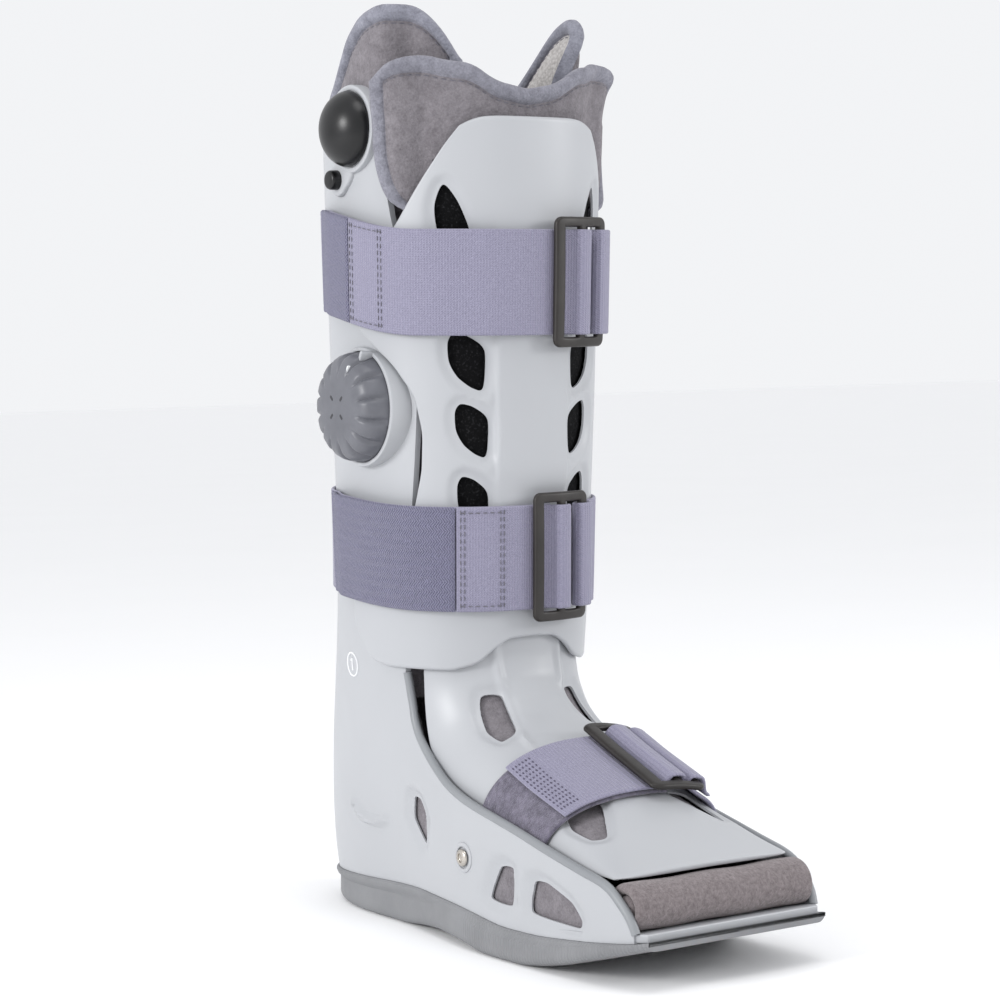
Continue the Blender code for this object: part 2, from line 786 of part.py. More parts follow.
def make_instep_pad():
    high = -PANEL_WALL - LINING_GAP
    turns = [-1.0, -0.8, -0.55, -0.28, 0.0, 0.28, 0.55, 0.8, 1.0]
    return dome_wall("instep_pad", turns, high, high - FOOT_FELT, "felt", 0.93, 0.9, 0.0)


# Felt cup round the foot: reach over FOOT_REACH, top over WALL_NOTCH
CUP_TOP = [
    (-0.50, 0.870),
    (0.110, 0.870),
    (0.150, 0.690),
    (0.205, 0.600),
    (0.260, 0.575),
    (0.345, 0.545),
    (0.500, 0.480),
    (0.660, 0.430),
    (0.800, 0.410),
    (0.850, 0.400),
]


def cup_ring(inset, up):
    """The cup's outline at a share of its height: it stands on the tray floor and ends at CUP_TOP."""
    reach = CUP_TOP[-1][0] * FOOT_REACH
    ring = []
    for k, (_, y, _) in enumerate(shell_outline(SOLE_HEIGHT, inset, reach, 7, 11)):
        low = joint_height(y) + TRAY_FLOOR + SEAT_GAP
        high = column(CUP_TOP, -y / FOOT_REACH, 1) * WALL_NOTCH
        ring.append(shell_outline(low + (high - low) * up, inset, reach, 7, 11)[k])
    return ring


def make_foot_liner():
    rim = 0.2 * FOOT_FELT
    near = SHELL_WALL + LINING_GAP
    far = near + FOOT_FELT
    rows = (0.0, 0.45, 0.93)
    outer = [cup_ring(near, up) for up in rows] + [cup_ring(near + rim, 1.0)]
    inner = [cup_ring(far, up) for up in rows] + [cup_ring(far - rim, 1.0)]
    return wall("foot_liner", outer, inner, "felt")


def make_insole():
    inset = SHELL_WALL + FOOT_FELT + 2.0 * LINING_GAP
    sections = []
    for y in plan_stations(inset):
        if -y > CUP_TOP[-1][0] * FOOT_REACH:
            continue
        half = plan_half_width(y, inset)
        low = joint_height(y) + TRAY_FLOOR + SEAT_GAP
        high = low + INSOLE_WALL
        rim = 0.25 * INSOLE_WALL
        ring = [(half - rim, low), (half, low + rim), (half, high - rim), (half - rim, high)]
        right = [(x, y, z) for x, z in ring]
        sections.append(right + [(-x, py, z) for x, py, z in right[::-1]])
    return loft("insole", sections, "felt")


# Toe roll: a felt flap wound on itself, between the foot panel's front edge and the toe lip
ROLL_HALF = 0.0462
ROLL_TURNS = 1.35


def make_toe_roll():
    lip = 0.975 * FOOT_REACH
    pitch = ROLL_FELT + SEAT_GAP
    centre_y = -lip + ROLL_RADIUS
    slope = math.atan2(joint_height(-lip) - joint_height(centre_y), ROLL_RADIUS)
    under = ROLL_RADIUS - pitch * (ROLL_TURNS - 1.0)
    centre_z = joint_height(centre_y) + TRAY_FLOOR + 1.5 * SEAT_GAP + under / math.cos(slope)
    outer, inner = [], []
    steps = 18
    for k in range(steps + 1):
        turns = ROLL_TURNS * k / steps
        angle = 2.0 * math.pi * turns - 0.55 * math.pi
        radius = ROLL_RADIUS - pitch * (ROLL_TURNS - turns)
        out = (centre_y - radius * math.cos(angle), centre_z + radius * math.sin(angle))
        core = radius - ROLL_FELT
        within = (centre_y - core * math.cos(angle), centre_z + core * math.sin(angle))
        outer.append([(-ROLL_HALF, out[0], out[1]), (ROLL_HALF, out[0], out[1])])
        inner.append([(-ROLL_HALF, within[0], within[1]), (ROLL_HALF, within[0], within[1])])
    return wall("toe_roll", outer, inner, "felt")


# Straps: a band follows a path of (turn in degrees, proud) over a place function
def band(name, path, wall_size, radius, place, slot, ends=(0.0, 1.0)):
    outer, inner = [], []
    for k, (turn, proud) in enumerate(path):
        before, after = path[max(k - 1, 0)], path[min(k + 1, len(path) - 1)]
        along = math.radians(after[0] - before[0]) * radius
        rise = after[1] - before[1]
        size = math.hypot(along, rise)
        shift_turn = -rise / size * 0.5 * wall_size / radius
        shift_proud = along / size * 0.5 * wall_size
        out = (math.radians(turn) + shift_turn, proud + shift_proud)
        back = (math.radians(turn) - shift_turn, proud - shift_proud)
        outer.append([place(out[0], out[1], v) for v in ends])
        inner.append([place(back[0], back[1], v) for v in ends])
    return wall(name, outer, inner, slot)


def arc(start, end, proud_at, step):
    count = max(int(round(abs(end - start) / step)), 1)
    turns = [start + (end - start) * k / count for k in range(count + 1)]
    return [(turn, proud_at(turn)) for turn in turns]


STRAP_FLOOR = PANEL_GAP + PANEL_WALL + STRAP_GAP
LAYER = WEB_WALL + STRAP_GAP
TAB_END = -115.0

# Buckle bars across the leg, as turns in degrees: near edge and far edge
UPPER_BARS = {"left": (4.0, 8.5), "centre": (15.5, 19.0), "right": (26.5, 31.0)}
LOWER_BARS = {"left": (-4.0, 0.5), "centre": (7.5, 11.0), "right": (18.5, 23.0)}
# Turns where the belt steps down from the shin panel onto the shell behind it
STEP_FROM = 99.0
STEP_TO = 112.0


def short_turn(turn):
    return (turn + 180.0) % 360.0 - 180.0


def strap_seat(turn):
    """Middle of the under layer: on the shin panel in front, down on the shell behind."""
    behind = ease(abs(short_turn(turn)), STEP_FROM, STEP_TO)
    return STRAP_GAP + 0.5 * WEB_WALL + (STRAP_FLOOR - STRAP_GAP) * (1.0 - behind)


def strap_rise(turn):
    """Share of a strap's climb from the shin round its outer side to the back."""
    turn = short_turn(turn)
    return ease(-turn, 50.0, 115.0) if turn < 0.0 else ease(turn, 115.0, 180.0)


def over_bar(bar, play, floor, top):
    """A fold over a buckle bar, as (turn in degrees, proud), from low on its near side to its far side."""
    near, far = bar
    middle = floor + 0.5 * BUCKLE_WALL
    shoulder = top - 0.25 * WEB_WALL
    rise = [(near - play, middle), (near - 0.7 * play, shoulder), (near + 0.2 * play, top)]
    fall = [(far - 0.2 * play, top), (far + 0.7 * play, shoulder), (far + play, middle)]
    return rise + fall


def make_leg_strap(name, height, rise, bars, tab_from):
    low = height - 0.5 * WEB_WIDTH
    raised = PLATEAU_RISE if name == "upper" else 0.0
    floor = STRAP_FLOOR + 2.0 * LAYER + raised
    top = floor + BUCKLE_WALL + STRAP_GAP + 0.5 * WEB_WALL
    radius = LEG_FRONT + floor
    play = math.degrees((0.5 * WEB_WALL + STRAP_GAP) / radius)

    def place(turn, proud, share):
        z = low + share * WEB_WIDTH + rise * strap_rise(math.degrees(turn))
        return leg_point(turn, z, proud)

    def under(turn):
        return strap_seat(turn) + raised * (1.0 - ease(abs(short_turn(turn)), 21.0, 33.0))

    def over(turn):
        return under(turn) + LAYER

    left, centre, right = bars["left"], bars["centre"], bars["right"]
    fold = over_bar(centre, play, floor, top)
    start = left[1] + 0.4 * (centre[0] - left[1])
    outer_path = arc(tab_from, start, over, 7.0) + fold
    band(name + "_strap", outer_path, WEB_WALL, radius, place, "webbing")
    hook_path = arc(TAB_END, tab_from - 0.6, over, 7.0)
    band(name + "_hook_tab", hook_path, WEB_WALL, radius, place, "hook_tape")

    path = arc(centre[0], -STEP_FROM, under, 7.0) + arc(-STEP_TO, STEP_TO - 360.0, under, 9.0)
    path += arc(STEP_FROM - 360.0, right[1] + 4.0 * play - 360.0, under, 7.0)
    fold = over_bar(right, play, floor, top)
    path += [(right[0] - 0.4 * play - 360.0, 0.5 * (under(right[0]) + floor + 0.5 * BUCKLE_WALL))]
    path += [(turn - 360.0, proud) for turn, proud in fold[:-1]]
    tail = right[1] + 5.0 * play
    path += [(turn - 360.0, over(turn)) for turn in (tail, tail + 8.0)]
    band(name + "_belt", path, WEB_WALL, radius, place, "webbing")

    def buckle_place(turn, proud, up):
        return leg_point(turn, height + up * BUCKLE_LENGTH, proud)

    make_buckle(name + "_buckle", buckle_place, bars, BUCKLE_LENGTH, floor)


def make_buckle(name, place, bars, length, floor):
    """A three-bar slider: a bent plate with two slots, laid over the strap it holds."""
    near, far = bars["left"][0], bars["right"][1]
    across = [near + (far - near) * k / 8 for k in range(9)]
    tuck = 0.045 * (far - near)
    outer, inner = [], []
    for up in (-0.5, -0.46, 0.46, 0.5):
        trim = tuck if abs(up) == 0.5 else 0.0
        turns = [math.radians(min(max(t, near + trim), far - trim)) for t in across]
        outer.append([place(t, floor + BUCKLE_WALL, up) for t in turns])
        inner.append([place(t, floor, up) for t in turns])
    frame = wall(name, outer, inner, "buckle_plastic")
    hole = 0.5 - BUCKLE_BAR / length
    gaps = [(bars["left"][1], bars["centre"][0]), (bars["centre"][1], bars["right"][0])]
    for index, (start, end) in enumerate(gaps):
        outline = [(start, -hole), (end, -hole), (end, hole), (start, hole)]
        inside = [place(math.radians(t), floor - BUCKLE_WALL, up) for t, up in outline]
        outside = [place(math.radians(t), floor + 2.0 * BUCKLE_WALL, up) for t, up in outline]
        cutter = loft("%s_slot_%d" % (name, index + 1), [inside, outside], "buckle_plastic")
        join(frame, cutter, "DIFFERENCE")
    return frame


def make_leg_straps():
    make_leg_strap("upper", UPPER_STRAP_HEIGHT, UPPER_STRAP_RISE, UPPER_BARS, -84.0)
    make_leg_strap("lower", LOWER_STRAP_HEIGHT, LOWER_STRAP_RISE, LOWER_BARS, -35.0)


# Foot strap: rear and front edge on the instep line, as reach over FOOT_REACH
FOOT_STRAP_REAR = 0.468
FOOT_BARS = {"left": (1.0, 7.0), "centre": (14.0, 19.0), "right": (27.0, 33.0)}
FOOT_TAB_END = -50.0


def foot_place(turn, proud, share):
    middle = instep_along(FOOT_STRAP_REAR)
    length = FOOT_STRAP_WIDTH / instep_run()
    return foot_point(middle + share * length, turn, proud)


def instep_run():
    run = 0.0
    for a, b in zip(INSTEP, INSTEP[1:]):
        run += math.hypot((b[0] - a[0]) * FOOT_REACH, (b[1] - a[1]) * INSTEP_RISE)
    return run


def make_foot_strap():
    seat = STRAP_GAP + 0.5 * WEB_WALL
    over = seat + LAYER
    floor = over + 0.5 * WEB_WALL + STRAP_GAP
    top = floor + BUCKLE_WALL + STRAP_GAP + 0.5 * WEB_WALL
    radius = 0.75 * FOOT_HALF_WIDTH
    play = math.degrees((0.5 * WEB_WALL + STRAP_GAP) / radius)
    ends = (0.0, 0.5, 1.0)
    left, centre, right = FOOT_BARS["left"], FOOT_BARS["centre"], FOOT_BARS["right"]
    start = left[1] + 0.4 * (centre[0] - left[1])
    path = arc(FOOT_TAB_END, start, lambda turn: over, 8.0) + over_bar(centre, play, floor, top)
    band("foot_strap", path, WEB_WALL, radius, foot_place, "webbing", ends)
    under = arc(-86.0, centre[0], lambda turn: seat, 8.0)
    band("foot_belt", under, WEB_WALL, radius, foot_place, "loop_cloth", ends)
    path = arc(86.0, right[1] + 4.0 * play, lambda turn: seat, 8.0)
    path.append((right[0] - 0.4 * play, 0.5 * (seat + floor + 0.5 * BUCKLE_WALL)))
    path += over_bar(right, play, floor, top)[:-1]
    path += [(right[1] + 5.0 * play, over), (right[1] + 8.0 * play, over)]
    band("foot_loop", path, WEB_WALL, radius, foot_place, "webbing", ends)

    def place(turn, proud, up):
        return foot_place(turn, proud, 0.5 + up * BUCKLE_LENGTH / FOOT_STRAP_WIDTH)

    make_buckle("foot_buckle", place, FOOT_BARS, BUCKLE_LENGTH, floor)


# Controls on the outer side: bosses moulded on the shell carry the bulb, the button and the dial
def wall_reach(y, z):
    half, back, front = leg_sizes(z)
    depth = back if y > 0.0 else front
    n = LEG_SQUARENESS
    return half * (1.0 - min(abs(y) / depth, 1.0) ** n) ** (1.0 / n)


def boss_face(y, z, proud):
    return (-(wall_reach(y, z) + proud), y, z)


def leg_core():
    """The leg's inside, which trims the back of each boss to the shell's wall."""
    sections = []
    for share in (0.5, 0.6, 0.7, 0.8, 0.88, 0.96, 1.04):
        z = share * CUFF_HEIGHT
        sections.append([leg_point(2.0 * math.pi * k / 40, z, -0.5 * SHELL_WALL) for k in range(40)])
    return loft("leg_core", sections, "shell_plastic")


def add_boss(shell, core, name, face, radius, sides):
    depth = 0.022
    boss = turned(name, face, [(-depth, radius), (-0.0006, radius), (0.0, radius - 0.0006)], "shell_plastic", sides)
    join(boss, core, "DIFFERENCE")
    join(shell, boss, "UNION")


def add_bore(shell, name, face, radius):
    bore = turned(name, face, [(-0.022, radius), (0.010, radius)], "shell_plastic", 16)
    join(shell, bore, "DIFFERENCE")


def make_controls(shell):
    core = leg_core()
    core.hide_render = True
    core.display_type = "WIRE"
    dial_face = boss_face(DIAL_BACK, DIAL_HEIGHT, BOSS_PROUD)
    bulb_face = boss_face(BULB_BACK, BULB_HEIGHT, BOSS_PROUD)
    button_face = boss_face(BUTTON_BACK, BUTTON_HEIGHT, BOSS_PROUD + 0.0015)
    add_boss(shell, core, "dial_boss", dial_face, DIAL_RADIUS + BOSS_RIM, 32)
    add_boss(shell, core, "bulb_boss", bulb_face, BULB_RADIUS + BOSS_RIM, 24)
    add_boss(shell, core, "button_boss", button_face, BUTTON_RADIUS + BOSS_RIM, 16)
    add_bore(shell, "spindle_bore", dial_face, SPINDLE_RADIUS)
    add_bore(shell, "button_bore", button_face, BUTTON_RADIUS + SPINDLE_PLAY)
    spindle = SPINDLE_RADIUS - SPINDLE_PLAY
    low = SEAT_GAP
    profile = [(-0.0045, spindle), (low, spindle), (low, DIAL_RADIUS - 0.001), (low + 0.001, DIAL_RADIUS),
               (0.35 * DIAL_DEPTH, DIAL_RADIUS), (0.65 * DIAL_DEPTH, 0.93 * DIAL_RADIUS),
               (0.88 * DIAL_DEPTH, 0.82 * DIAL_RADIUS), (DIAL_DEPTH, DIAL_FACE)]
    turned("dial", dial_face, profile, "dial_plastic", 2 * DIAL_LOBES, DIAL_LOBES, 0.08, 0.2 * DIAL_DEPTH)
    dome = [(SEAT_GAP, BULB_RADIUS - 0.0006)]
    for k in range(6):
        angle = math.radians(4 + 16.0 * k)
        dome.append((SEAT_GAP + BULB_DEPTH * math.sin(angle), BULB_RADIUS * math.cos(angle)))
    turned("pump_bulb", bulb_face, dome, "bulb_rubber", 20)
    cap = [(-0.0030, BUTTON_RADIUS), (0.0036, BUTTON_RADIUS), (0.0046, 0.8 * BUTTON_RADIUS),
           (0.0050, 0.5 * BUTTON_RADIUS)]
    turned("release_button", button_face, cap, "bulb_rubber", 16)


def make_bolts(shell):
    y = -BOLT_REACH * FOOT_REACH
    reach = side_half_width(y, BOLT_HEIGHT)
    bore = side_hole("bolt_bore", y, BOLT_HEIGHT, 0.55 * BOLT_RADIUS)
    join(shell, bore, "DIFFERENCE")
    shank = 0.55 * BOLT_RADIUS - SPINDLE_PLAY
    profile = [(-0.8 * SHELL_WALL, shank), (SEAT_GAP, shank), (SEAT_GAP, BOLT_RADIUS),
               (0.0014, 0.9 * BOLT_RADIUS), (0.0020, 0.6 * BOLT_RADIUS)]
    for name, side in (("bolt_lateral", 1.0), ("bolt_medial", -1.0)):
        place = (-reach, y, BOLT_HEIGHT)
        rows = [(out + 0.0004, radius) for out, radius in profile]
        bolt = turned(name, place, rows, "steel", 12)
        if side < 0.0:
            for vertex in bolt.data.vertices:
                vertex.co.x = -vertex.co.x
            bolt.data.flip_normals()


def side_hole(name, y, z, radius, sides=12):
    ring = [(y + radius * math.cos(2.0 * math.pi * k / sides), z + radius * math.sin(2.0 * math.pi * k / sides))
            for k in range(sides)]
    return side_prism(name, ring)


def cut_windows(shell):
    for name, outline in WINDOWS.items():
        corners = [(-reach * FOOT_REACH, z * WALL_NOTCH) for reach, z in outline]
        join(shell, side_prism("window_" + name, corners), "DIFFERENCE")


rear_shell = make_shell()
cut_windows(rear_shell)
make_controls(rear_shell)
make_bolts(rear_shell)
make_outsole()
make_front_panel()
make_leg_liner()
make_air_cell()
make_front_pad()
make_foot_panel()
make_instep_pad()
make_foot_liner()
make_insole()
make_toe_roll()
make_leg_straps()
make_foot_strap()
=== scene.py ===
import math

import bmesh
import bpy
import numpy as np
from mathutils import Matrix, Vector


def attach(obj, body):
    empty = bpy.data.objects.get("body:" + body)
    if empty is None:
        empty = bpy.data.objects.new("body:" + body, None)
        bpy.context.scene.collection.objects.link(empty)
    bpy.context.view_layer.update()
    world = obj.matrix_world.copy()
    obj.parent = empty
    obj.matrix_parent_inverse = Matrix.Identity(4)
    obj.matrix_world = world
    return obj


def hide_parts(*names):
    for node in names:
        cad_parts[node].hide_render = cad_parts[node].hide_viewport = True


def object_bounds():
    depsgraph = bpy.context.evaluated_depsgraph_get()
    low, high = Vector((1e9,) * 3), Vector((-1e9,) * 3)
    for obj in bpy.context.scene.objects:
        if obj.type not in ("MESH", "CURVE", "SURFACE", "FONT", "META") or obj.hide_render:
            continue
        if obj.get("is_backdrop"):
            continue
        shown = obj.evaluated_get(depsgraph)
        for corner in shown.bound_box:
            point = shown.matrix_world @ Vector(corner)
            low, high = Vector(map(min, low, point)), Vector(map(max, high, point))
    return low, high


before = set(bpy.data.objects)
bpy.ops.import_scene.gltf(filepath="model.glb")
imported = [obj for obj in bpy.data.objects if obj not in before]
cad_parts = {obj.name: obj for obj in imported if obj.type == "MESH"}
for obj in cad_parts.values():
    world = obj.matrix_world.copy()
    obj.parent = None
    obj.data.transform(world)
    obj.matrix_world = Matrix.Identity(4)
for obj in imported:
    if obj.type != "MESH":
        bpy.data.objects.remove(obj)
solid_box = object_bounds()


# Outsole: one moulding of mid-grey rubber, bonded under the shell. Its tread is flat under the heel
# and the ball of the foot and rises at the toe; the sides of the forefoot bulge and carry fine ribs.
LEAN = math.radians(3.0)
CUFF_HEIGHT = 0.4065
LEG_HALF_WIDTH, LEG_BACK, LEG_FRONT = 0.062, 0.070, 0.061
SQUARENESS = 2.35
FOOT_REACH, FOOT_HALF_WIDTH = 0.219, 0.0545
SOLE_HEIGHT, TOE_SPRING, SOLE_EDGE, SOLE_ROUND, RIB_PITCH = 0.0235, 0.019, 0.0015, 0.0042, 0.0021
FOOT_BLEND = (0.091, 0.126)
LEG_SECTIONS = [
    (0.00, 0.720, 1.130, 0.985), (0.03, 0.745, 1.200, 0.985), (0.10, 0.775, 1.250, 0.985),
    (0.20, 0.785, 1.235, 0.985), (0.30, 0.830, 1.100, 0.985), (0.39, 0.885, 0.960, 0.985),
    (0.49, 0.915, 0.915, 0.985), (0.63, 0.960, 0.930, 0.985), (0.78, 0.980, 0.975, 1.000),
    (0.93, 0.995, 1.020, 1.015), (1.01, 1.005, 1.035, 1.020), (1.10, 1.020, 1.060, 1.030),
]
FOOT_PLAN = [
    (0.00, 0.895), (0.10, 0.895), (0.20, 0.920), (0.37, 0.975), (0.52, 1.000), (0.70, 1.000),
    (0.83, 0.990), (0.93, 0.970), (0.97, 0.945), (1.00, 0.880),
]
SOLE_JOINT = [
    (-0.41, 0.46), (-0.15, 0.72), (0.00, 0.85), (0.18, 1.00), (0.36, 0.99), (0.53, 0.90), (0.66, 0.97),
    (0.83, 1.18), (0.95, 1.37), (1.00, 1.45),
]
TREAD = [
    (-0.410, 0.30, -1.6), (-0.350, 0.06, -1.6), (-0.310, 0.00, -1.6), (0.088, 0.00, -1.6),
    (0.170, 0.12, -1.3), (0.250, 0.19, -0.6), (0.370, 0.15, 0.8), (0.460, 0.00, 1.4),
    (0.615, 0.00, 1.4), (0.690, 0.12, 1.2), (0.760, 0.28, 0.9), (0.890, 0.66, 0.4), (1.000, 1.00, 0.0),
]


def read(table, place, column, spread=0.0):
    """A table's value at a place, averaged over a spread so that its corners come out round."""
    keys = [row[0] for row in table]
    values = [row[column] for row in table]
    taps = np.linspace(-spread, spread, 5) if spread else [0.0]
    return np.mean([np.interp(np.asarray(place) + tap, keys, values) for tap in taps], axis=0)


def ease(value, low, high):
    share = np.clip((np.asarray(value, float) - low) / (high - low), 0.0, 1.0)
    return share * share * (3.0 - 2.0 * share)


def lean(points):
    """Points of the upright drawing, turned so that the tread lies on the floor."""
    p = np.asarray(points, float)
    c, s = math.cos(LEAN), math.sin(LEAN)
    return np.stack([p[..., 0], p[..., 1] * c - p[..., 2] * s, p[..., 1] * s + p[..., 2] * c], axis=-1)


def put_in_scene(name, data):
    made = bpy.data.objects.new(name, data)
    bpy.context.scene.collection.objects.link(made)
    return made


def shade(mesh, angle=38.0):
    mesh.shade_smooth()
    mesh.set_sharp_from_angle(angle=math.radians(angle))


def body_of_faces(name, points, faces, uvs=None):
    """A smooth mesh object from upright points; uvs holds one pair for each point."""
    mesh = bpy.data.meshes.new(name)
    mesh.from_pydata(lean(points).tolist(), [], faces)
    mesh.validate()
    if uvs is not None:
        layer = mesh.uv_layers.new(name="along")
        pairs = np.asarray(uvs)[[loop.vertex_index for loop in mesh.loops]]
        layer.data.foreach_set("uv", pairs.ravel())
    work = bmesh.new()
    work.from_mesh(mesh)
    bmesh.ops.recalc_face_normals(work, faces=work.faces)
    work.to_mesh(mesh)
    work.free()
    shade(mesh)
    return put_in_scene(name, mesh)


def ring_faces(rows, sides, closed=False):
    """Faces from ring to ring; a closed set has its last ring joined to its first."""
    return [(i * sides + j, i * sides + (j + 1) % sides, (i + 1) % rows * sides + (j + 1) % sides,
             (i + 1) % rows * sides + j) for i in range(rows if closed else rows - 1) for j in range(sides)]


def loft(name, rings, closed=False):
    """A body through rings of points in one order: capped at its ends, or closed on itself."""
    rings = np.asarray(rings, float)
    rows, count = rings.shape[:2]
    caps = [] if closed else [tuple(range(count))[::-1], tuple(range((rows - 1) * count, rows * count))]
    return body_of_faces(name, rings.reshape(-1, 3), caps + ring_faces(rows, count, closed))


def round_edges(piece, width, segments=2, angle=40.0):
    step = piece.modifiers.new("rounded edges", "BEVEL")
    step.width = width
    step.segments = segments
    step.limit_method = "ANGLE"
    step.angle_limit = math.radians(angle)
    step.use_clamp_overlap = True
    step.harden_normals = True
    return piece


def leg_sizes(z):
    share = np.asarray(z) / CUFF_HEIGHT
    half = read(LEG_SECTIONS, share, 1, 0.035) * LEG_HALF_WIDTH
    back = read(LEG_SECTIONS, share, 2, 0.035) * LEG_BACK
    front = read(LEG_SECTIONS, share, 3, 0.035) * LEG_FRONT
    return half, back, front


def side_half_width(y, z):
    """Half width ahead of the leg's axis: foot plan below, leg section above."""
    y = np.asarray(y, float)
    half, _, front = leg_sizes(z)
    leg = half * (1.0 - np.minimum(-y / front, 0.9) ** SQUARENESS) ** (1.0 / SQUARENESS)
    foot = read(FOOT_PLAN, -y / FOOT_REACH, 1, 0.012) * FOOT_HALF_WIDTH
    start = half / (FOOT_HALF_WIDTH * FOOT_PLAN[0][1])
    foot = foot * (1.0 + (start - 1.0) * (1.0 - ease(-y, 0.0, 0.25 * FOOT_REACH)))
    return foot + (leg - foot) * ease(z, *FOOT_BLEND)


def joint_height(y):
    return read(SOLE_JOINT, -np.asarray(y) / FOOT_REACH, 1, 0.03) * SOLE_HEIGHT


def plan_half_width(y, inset):
    z = joint_height(y)
    if y <= 0.0:
        return float(side_half_width(y, z)) - inset
    half, back, _ = leg_sizes(z)
    share = min(y / (back - inset), 1.0)
    return (half - inset) * (1.0 - share ** SQUARENESS) ** (1.0 / SQUARENESS)


def plan_stations(inset, heel_steps, foot_steps):
    back = float(leg_sizes(joint_height(LEG_BACK))[1]) - inset
    heel = [back * math.cos(0.5 * math.pi * (k + 0.35) / heel_steps) for k in range(heel_steps)]
    return heel + [-(FOOT_REACH - inset) * (k / foot_steps) ** 0.9 for k in range(foot_steps + 1)]


sole_rings = []
for y in plan_stations(-SOLE_EDGE, 22, 60):
    top = float(joint_height(y)) - 0.0001
    low = float(read(TREAD, -y / FOOT_REACH, 1, 0.012)) * TOE_SPRING - y * math.tan(LEAN)
    low = max(low, -y * math.tan(LEAN))
    half = plan_half_width(y, -SOLE_EDGE)
    bulge = float(read(TREAD, -y / FOOT_REACH, 2, 0.02)) * SOLE_EDGE
    ring = [(half - 0.0008, top), (half, top - 0.0008)]
    for k in range(1, 9):
        share = k / 8
        ring.append((half + bulge * float(ease(share, 0.18, 0.36)), top + (low + SOLE_ROUND - top) * share))
    for k in range(1, 6):
        turn = 0.5 * math.pi * k / 5
        ring.append((half + bulge - SOLE_ROUND * (1 - math.cos(turn)),
                     low + SOLE_ROUND * (1 - math.sin(turn))))
    ring = [(max(x, 0.25 * half), z) for x, z in ring]
    sole_rings.append([(-x, y, z) for x, z in ring] + [(x, y, z) for x, z in ring[::-1]])
outsole = round_edges(loft("rocker_outsole", sole_rings), 0.0012)


def material(name, colour, roughness, **sockets):
    """A new Principled material, with its plain values set on the shader's own sockets."""
    made = bpy.data.materials.new(name)
    made.use_nodes = True
    shader = made.node_tree.nodes["Principled BSDF"]
    shader.inputs["Base Color"].default_value = (*colour, 1.0)
    shader.inputs["Roughness"].default_value = roughness
    for key, value in sockets.items():
        shader.inputs[key.replace("_", " ")].default_value = value
    return made, made.node_tree, shader


def add(tree, kind, inputs=None, **settings):
    """A node with its settings, and its inputs either linked or set."""
    made = tree.nodes.new(kind)
    for key, value in settings.items():
        setattr(made, key, value)
    for key, value in (inputs or {}).items():
        if isinstance(value, bpy.types.NodeSocket):
            tree.links.new(value, made.inputs[key])
        else:
            made.inputs[key].default_value = value
    return made


def noise(tree, scale, detail=4.0, roughness=0.55, stretch=None):
    """A noise value at a scale in marks per metre, in the object's own space."""
    place = add(tree, "ShaderNodeTexCoord").outputs["Object"]
    if stretch:
        place = add(tree, "ShaderNodeMapping", {"Vector": place, "Scale": stretch}).outputs["Vector"]
    inputs = {"Vector": place, "Scale": scale, "Detail": detail, "Roughness": roughness}
    return add(tree, "ShaderNodeTexNoise", inputs).outputs["Fac"]


def maths(tree, operation, *values):
    return add(tree, "ShaderNodeMath", dict(enumerate(values)), operation=operation).outputs[0]


def shades(tree, value, dark, light, low=0.3, high=0.7):
    """A colour that goes from dark to light as the value goes from low to high."""
    ramp = add(tree, "ShaderNodeValToRGB", {"Fac": value})
    for element, place, colour in zip(ramp.color_ramp.elements, (low, high), (dark, light)):
        element.position = place
        element.color = (*colour, 1.0)
    return ramp.outputs["Color"]


def tint(tree, shader, value, *colours):
    tree.links.new(shades(tree, value, *colours), shader.inputs["Base Color"])


def vary(tree, shader, value, low, high):
    """Spreads a value over the roughness between two numbers."""
    spread = add(tree, "ShaderNodeMapRange", {"Value": value, "To Min": low, "To Max": high})
    tree.links.new(spread.outputs["Result"], shader.inputs["Roughness"])


def emboss(tree, shader, layers):
    """Stacks bumps: each layer is (height, strength, depth in metres)."""
    normal = None
    for height, strength, depth in layers:
        inputs = {"Height": height, "Strength": strength, "Distance": depth}
        if normal is not None:
            inputs["Normal"] = normal
        normal = add(tree, "ShaderNodeBump", inputs).outputs["Normal"]
    tree.links.new(normal, shader.inputs["Normal"])


def surface(name, colour, roughness, tone, bumps=(), polish=None, **sockets):
    """A material mottled by noise: tone is its grain and two colours, polish its grain and two
    roughnesses, and each bump is its grain, strength and depth in metres."""
    made, tree, shader = material(name, colour, roughness, **sockets)
    tint(tree, shader, noise(tree, *tone[0]), *tone[1:])
    if polish:
        vary(tree, shader, noise(tree, *polish[0]), *polish[1:])
    if bumps:
        emboss(tree, shader, [(noise(tree, *grain), strength, depth) for grain, strength, depth in bumps])
    return made


def dress(piece, finish, slot, *solids, body="boot"):
    """Gives a piece its material, and the solids and the body that it stands for."""
    piece.data.materials.clear()
    piece.data.materials.append(finish)
    if solids:
        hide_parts(*solids)
    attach(piece, body)


sole_rubber, tree, shader = material("sole rubber", (0.27, 0.275, 0.28), 0.6, Specular_IOR_Level=0.35)
tint(tree, shader, noise(tree, 38.0), (0.20, 0.203, 0.212), (0.245, 0.248, 0.258))
vary(tree, shader, noise(tree, 160.0), 0.5, 0.72)
place = add(tree, "ShaderNodeTexCoord").outputs["Object"]
back = add(tree, "ShaderNodeSeparateXYZ", {"Vector": place}).outputs["Y"]
forward = add(tree, "ShaderNodeMapRange", {"Value": back, "From Min": -0.085, "From Max": -0.1}).outputs[0]
ribs = maths(tree, "SINE", maths(tree, "MULTIPLY", back, 2.0 * math.pi / RIB_PITCH))
ribs = maths(tree, "MULTIPLY", ribs, forward)
emboss(tree, shader, [(ribs, 0.5, 0.0004), (noise(tree, 900.0), 0.25, 0.0003)])
dress(outsole, sole_rubber, "sole_rubber", "outsole")


